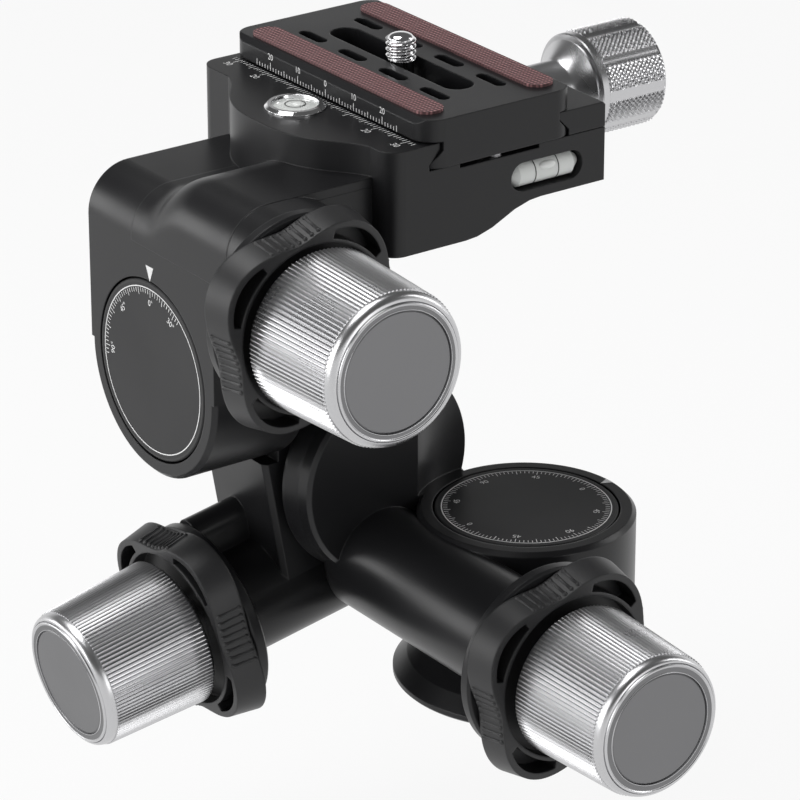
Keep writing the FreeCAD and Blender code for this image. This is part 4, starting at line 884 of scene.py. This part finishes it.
def stop_pin():
    profile = [(CENTRE, 0.0), (1.5, 0.0), (1.5, 0.12), (1.28, 0.12), (1.28, 1.3), (CENTRE, 1.3)]

    def radius_of(row, radius, angle, along):
        groove = row in (3, 4) and int(angle * PIN_RIBS / math.pi) % 2
        return radius - (0.08 if groove else 0.0)

    verts, faces = revolve_grid(profile, 4 * PIN_RIBS, radius_of)
    add_mesh("plate_stop_pin", verts, faces, SILVER, "plate_body",
             Matrix.Translation(PIN_PLACE), angle=30.0)


stop_pin()


# Stage, light and camera


def math_node(tree, operation, first, second):
    """Maths on two values, each of them a socket or a number."""
    node = tree.nodes.new("ShaderNodeMath")
    node.operation = operation
    for socket, value in zip(node.inputs, (first, second)):
        if isinstance(value, float):
            socket.default_value = value
        else:
            tree.links.new(value, socket)
    return node.outputs["Value"]


def background_rays(tree):
    """One for what the eye, metal and glass see of the background, zero for light."""
    path = tree.nodes.new("ShaderNodeLightPath")
    seen = math_node(tree, "MAXIMUM", path.outputs["Is Camera Ray"],
                     path.outputs["Is Glossy Ray"])
    return math_node(tree, "MAXIMUM", seen, path.outputs["Is Transmission Ray"])


FLOOR_GLOW = 0.9
FLOOR_LEVEL = -0.04
FLOOR_REACH = 3.0
SKY_WHITE_TO = 0.12
SKY_DIM_FROM = 0.45
SKY_DIM = 0.10
LIGHT_TARGET = (-0.02, 0.02, 0.06)
LIGHTS = (("top", (-0.15, 0.2, 0.75), 0.5, 0.4, 3.0),
          ("left", (-0.75, 0.15, 0.30), 0.5, 0.5, 2.4),
          ("rear_left", (-0.60, 0.66, 0.16), 0.30, 0.35, 1.2),
          ("front", (0.10, -0.8, 0.15), 0.20, 0.5, 0.7),
          ("right", (0.65, -0.20, 0.40), 0.20, 0.5, 1.2))
CAMERA_LENS = 198.27
CAMERA_PLACE = (-0.5080, -0.6623, 0.4296)
CAMERA_FORWARD = (0.5337, 0.7434, -0.4029)
CAMERA_RIGHT = (0.8123, -0.5831, 0.0)


def floor_material():
    mat = bpy.data.materials.new("floor_white")
    mat.use_nodes = True
    tree = mat.node_tree
    tree.nodes.clear()
    out = tree.nodes.new("ShaderNodeOutputMaterial")
    white = tree.nodes.new("ShaderNodeEmission")
    white.inputs["Color"].default_value = (1, 1, 1, 1)
    white.inputs["Strength"].default_value = 1.0
    matt = tree.nodes.new("ShaderNodeBsdfDiffuse")
    matt.inputs["Color"].default_value = (0.8, 0.8, 0.8, 1)
    share = math_node(tree, "MULTIPLY", background_rays(tree), FLOOR_GLOW)
    mix = tree.nodes.new("ShaderNodeMixShader")
    tree.links.new(share, mix.inputs["Fac"])
    tree.links.new(matt.outputs["BSDF"], mix.inputs[1])
    tree.links.new(white.outputs["Emission"], mix.inputs[2])
    tree.links.new(mix.outputs["Shader"], out.inputs["Surface"])
    return mat


def stage():
    """A wide floor, low enough to clear the roll knob at the end of its range."""
    data = bpy.data.meshes.new("floor")
    corners = [(x * FLOOR_REACH, y * FLOOR_REACH, FLOOR_LEVEL)
               for x, y in ((-1, -1), (1, -1), (1, 1), (-1, 1))]
    data.from_pydata(corners, [], [(0, 1, 2, 3)])
    data.materials.append(floor_material())
    floor = bpy.data.objects.new("floor", data)
    bpy.context.scene.collection.objects.link(floor)


def studio_world():
    """White near the horizon, a dim ceiling above."""
    world = bpy.data.worlds.new("studio")
    bpy.context.scene.world = world
    world.use_nodes = True
    tree = world.node_tree
    tree.nodes.clear()
    out = tree.nodes.new("ShaderNodeOutputWorld")
    sky = tree.nodes.new("ShaderNodeBackground")
    where = tree.nodes.new("ShaderNodeTexCoord")
    split = tree.nodes.new("ShaderNodeSeparateXYZ")
    tree.links.new(where.outputs["Generated"], split.inputs[0])
    fade = tree.nodes.new("ShaderNodeMapRange")
    fade.interpolation_type = "SMOOTHSTEP"
    fade.inputs["From Min"].default_value = SKY_WHITE_TO
    fade.inputs["From Max"].default_value = SKY_DIM_FROM
    fade.inputs["To Min"].default_value = 1.0
    fade.inputs["To Max"].default_value = SKY_DIM
    tree.links.new(split.outputs["Z"], fade.inputs["Value"])
    tree.links.new(fade.outputs["Result"], sky.inputs["Strength"])
    sky.inputs["Color"].default_value = (1, 1, 1, 1)
    tree.links.new(sky.outputs["Background"], out.inputs["Surface"])


def area_light(name, place, width, height, power):
    """A lamp in watts that faces the middle of the head."""
    lamp = bpy.data.lights.new(name, "AREA")
    lamp.shape = "RECTANGLE"
    lamp.size = width
    lamp.size_y = height
    lamp.energy = power
    obj = bpy.data.objects.new(name, lamp)
    bpy.context.scene.collection.objects.link(obj)
    obj.location = place
    direction = Vector(LIGHT_TARGET) - Vector(place)
    obj.rotation_euler = direction.to_track_quat("-Z", "Y").to_euler()


def camera():
    """Camera at the photograph's viewing angle."""
    data = bpy.data.cameras.new("camera")
    data.lens = CAMERA_LENS
    data.sensor_width = 36.0
    data.clip_end = 20.0
    obj = bpy.data.objects.new("camera", data)
    bpy.context.scene.collection.objects.link(obj)
    forward = Vector(CAMERA_FORWARD).normalized()
    right = Vector(CAMERA_RIGHT).normalized()
    up = right.cross(forward).normalized()
    obj.matrix_world = frame_matrix(CAMERA_PLACE, right, up, -forward)
    bpy.context.scene.camera = obj


stage()
studio_world()
for light in LIGHTS:
    area_light(*light)
camera()
bpy.context.scene.view_settings.view_transform = "Standard"
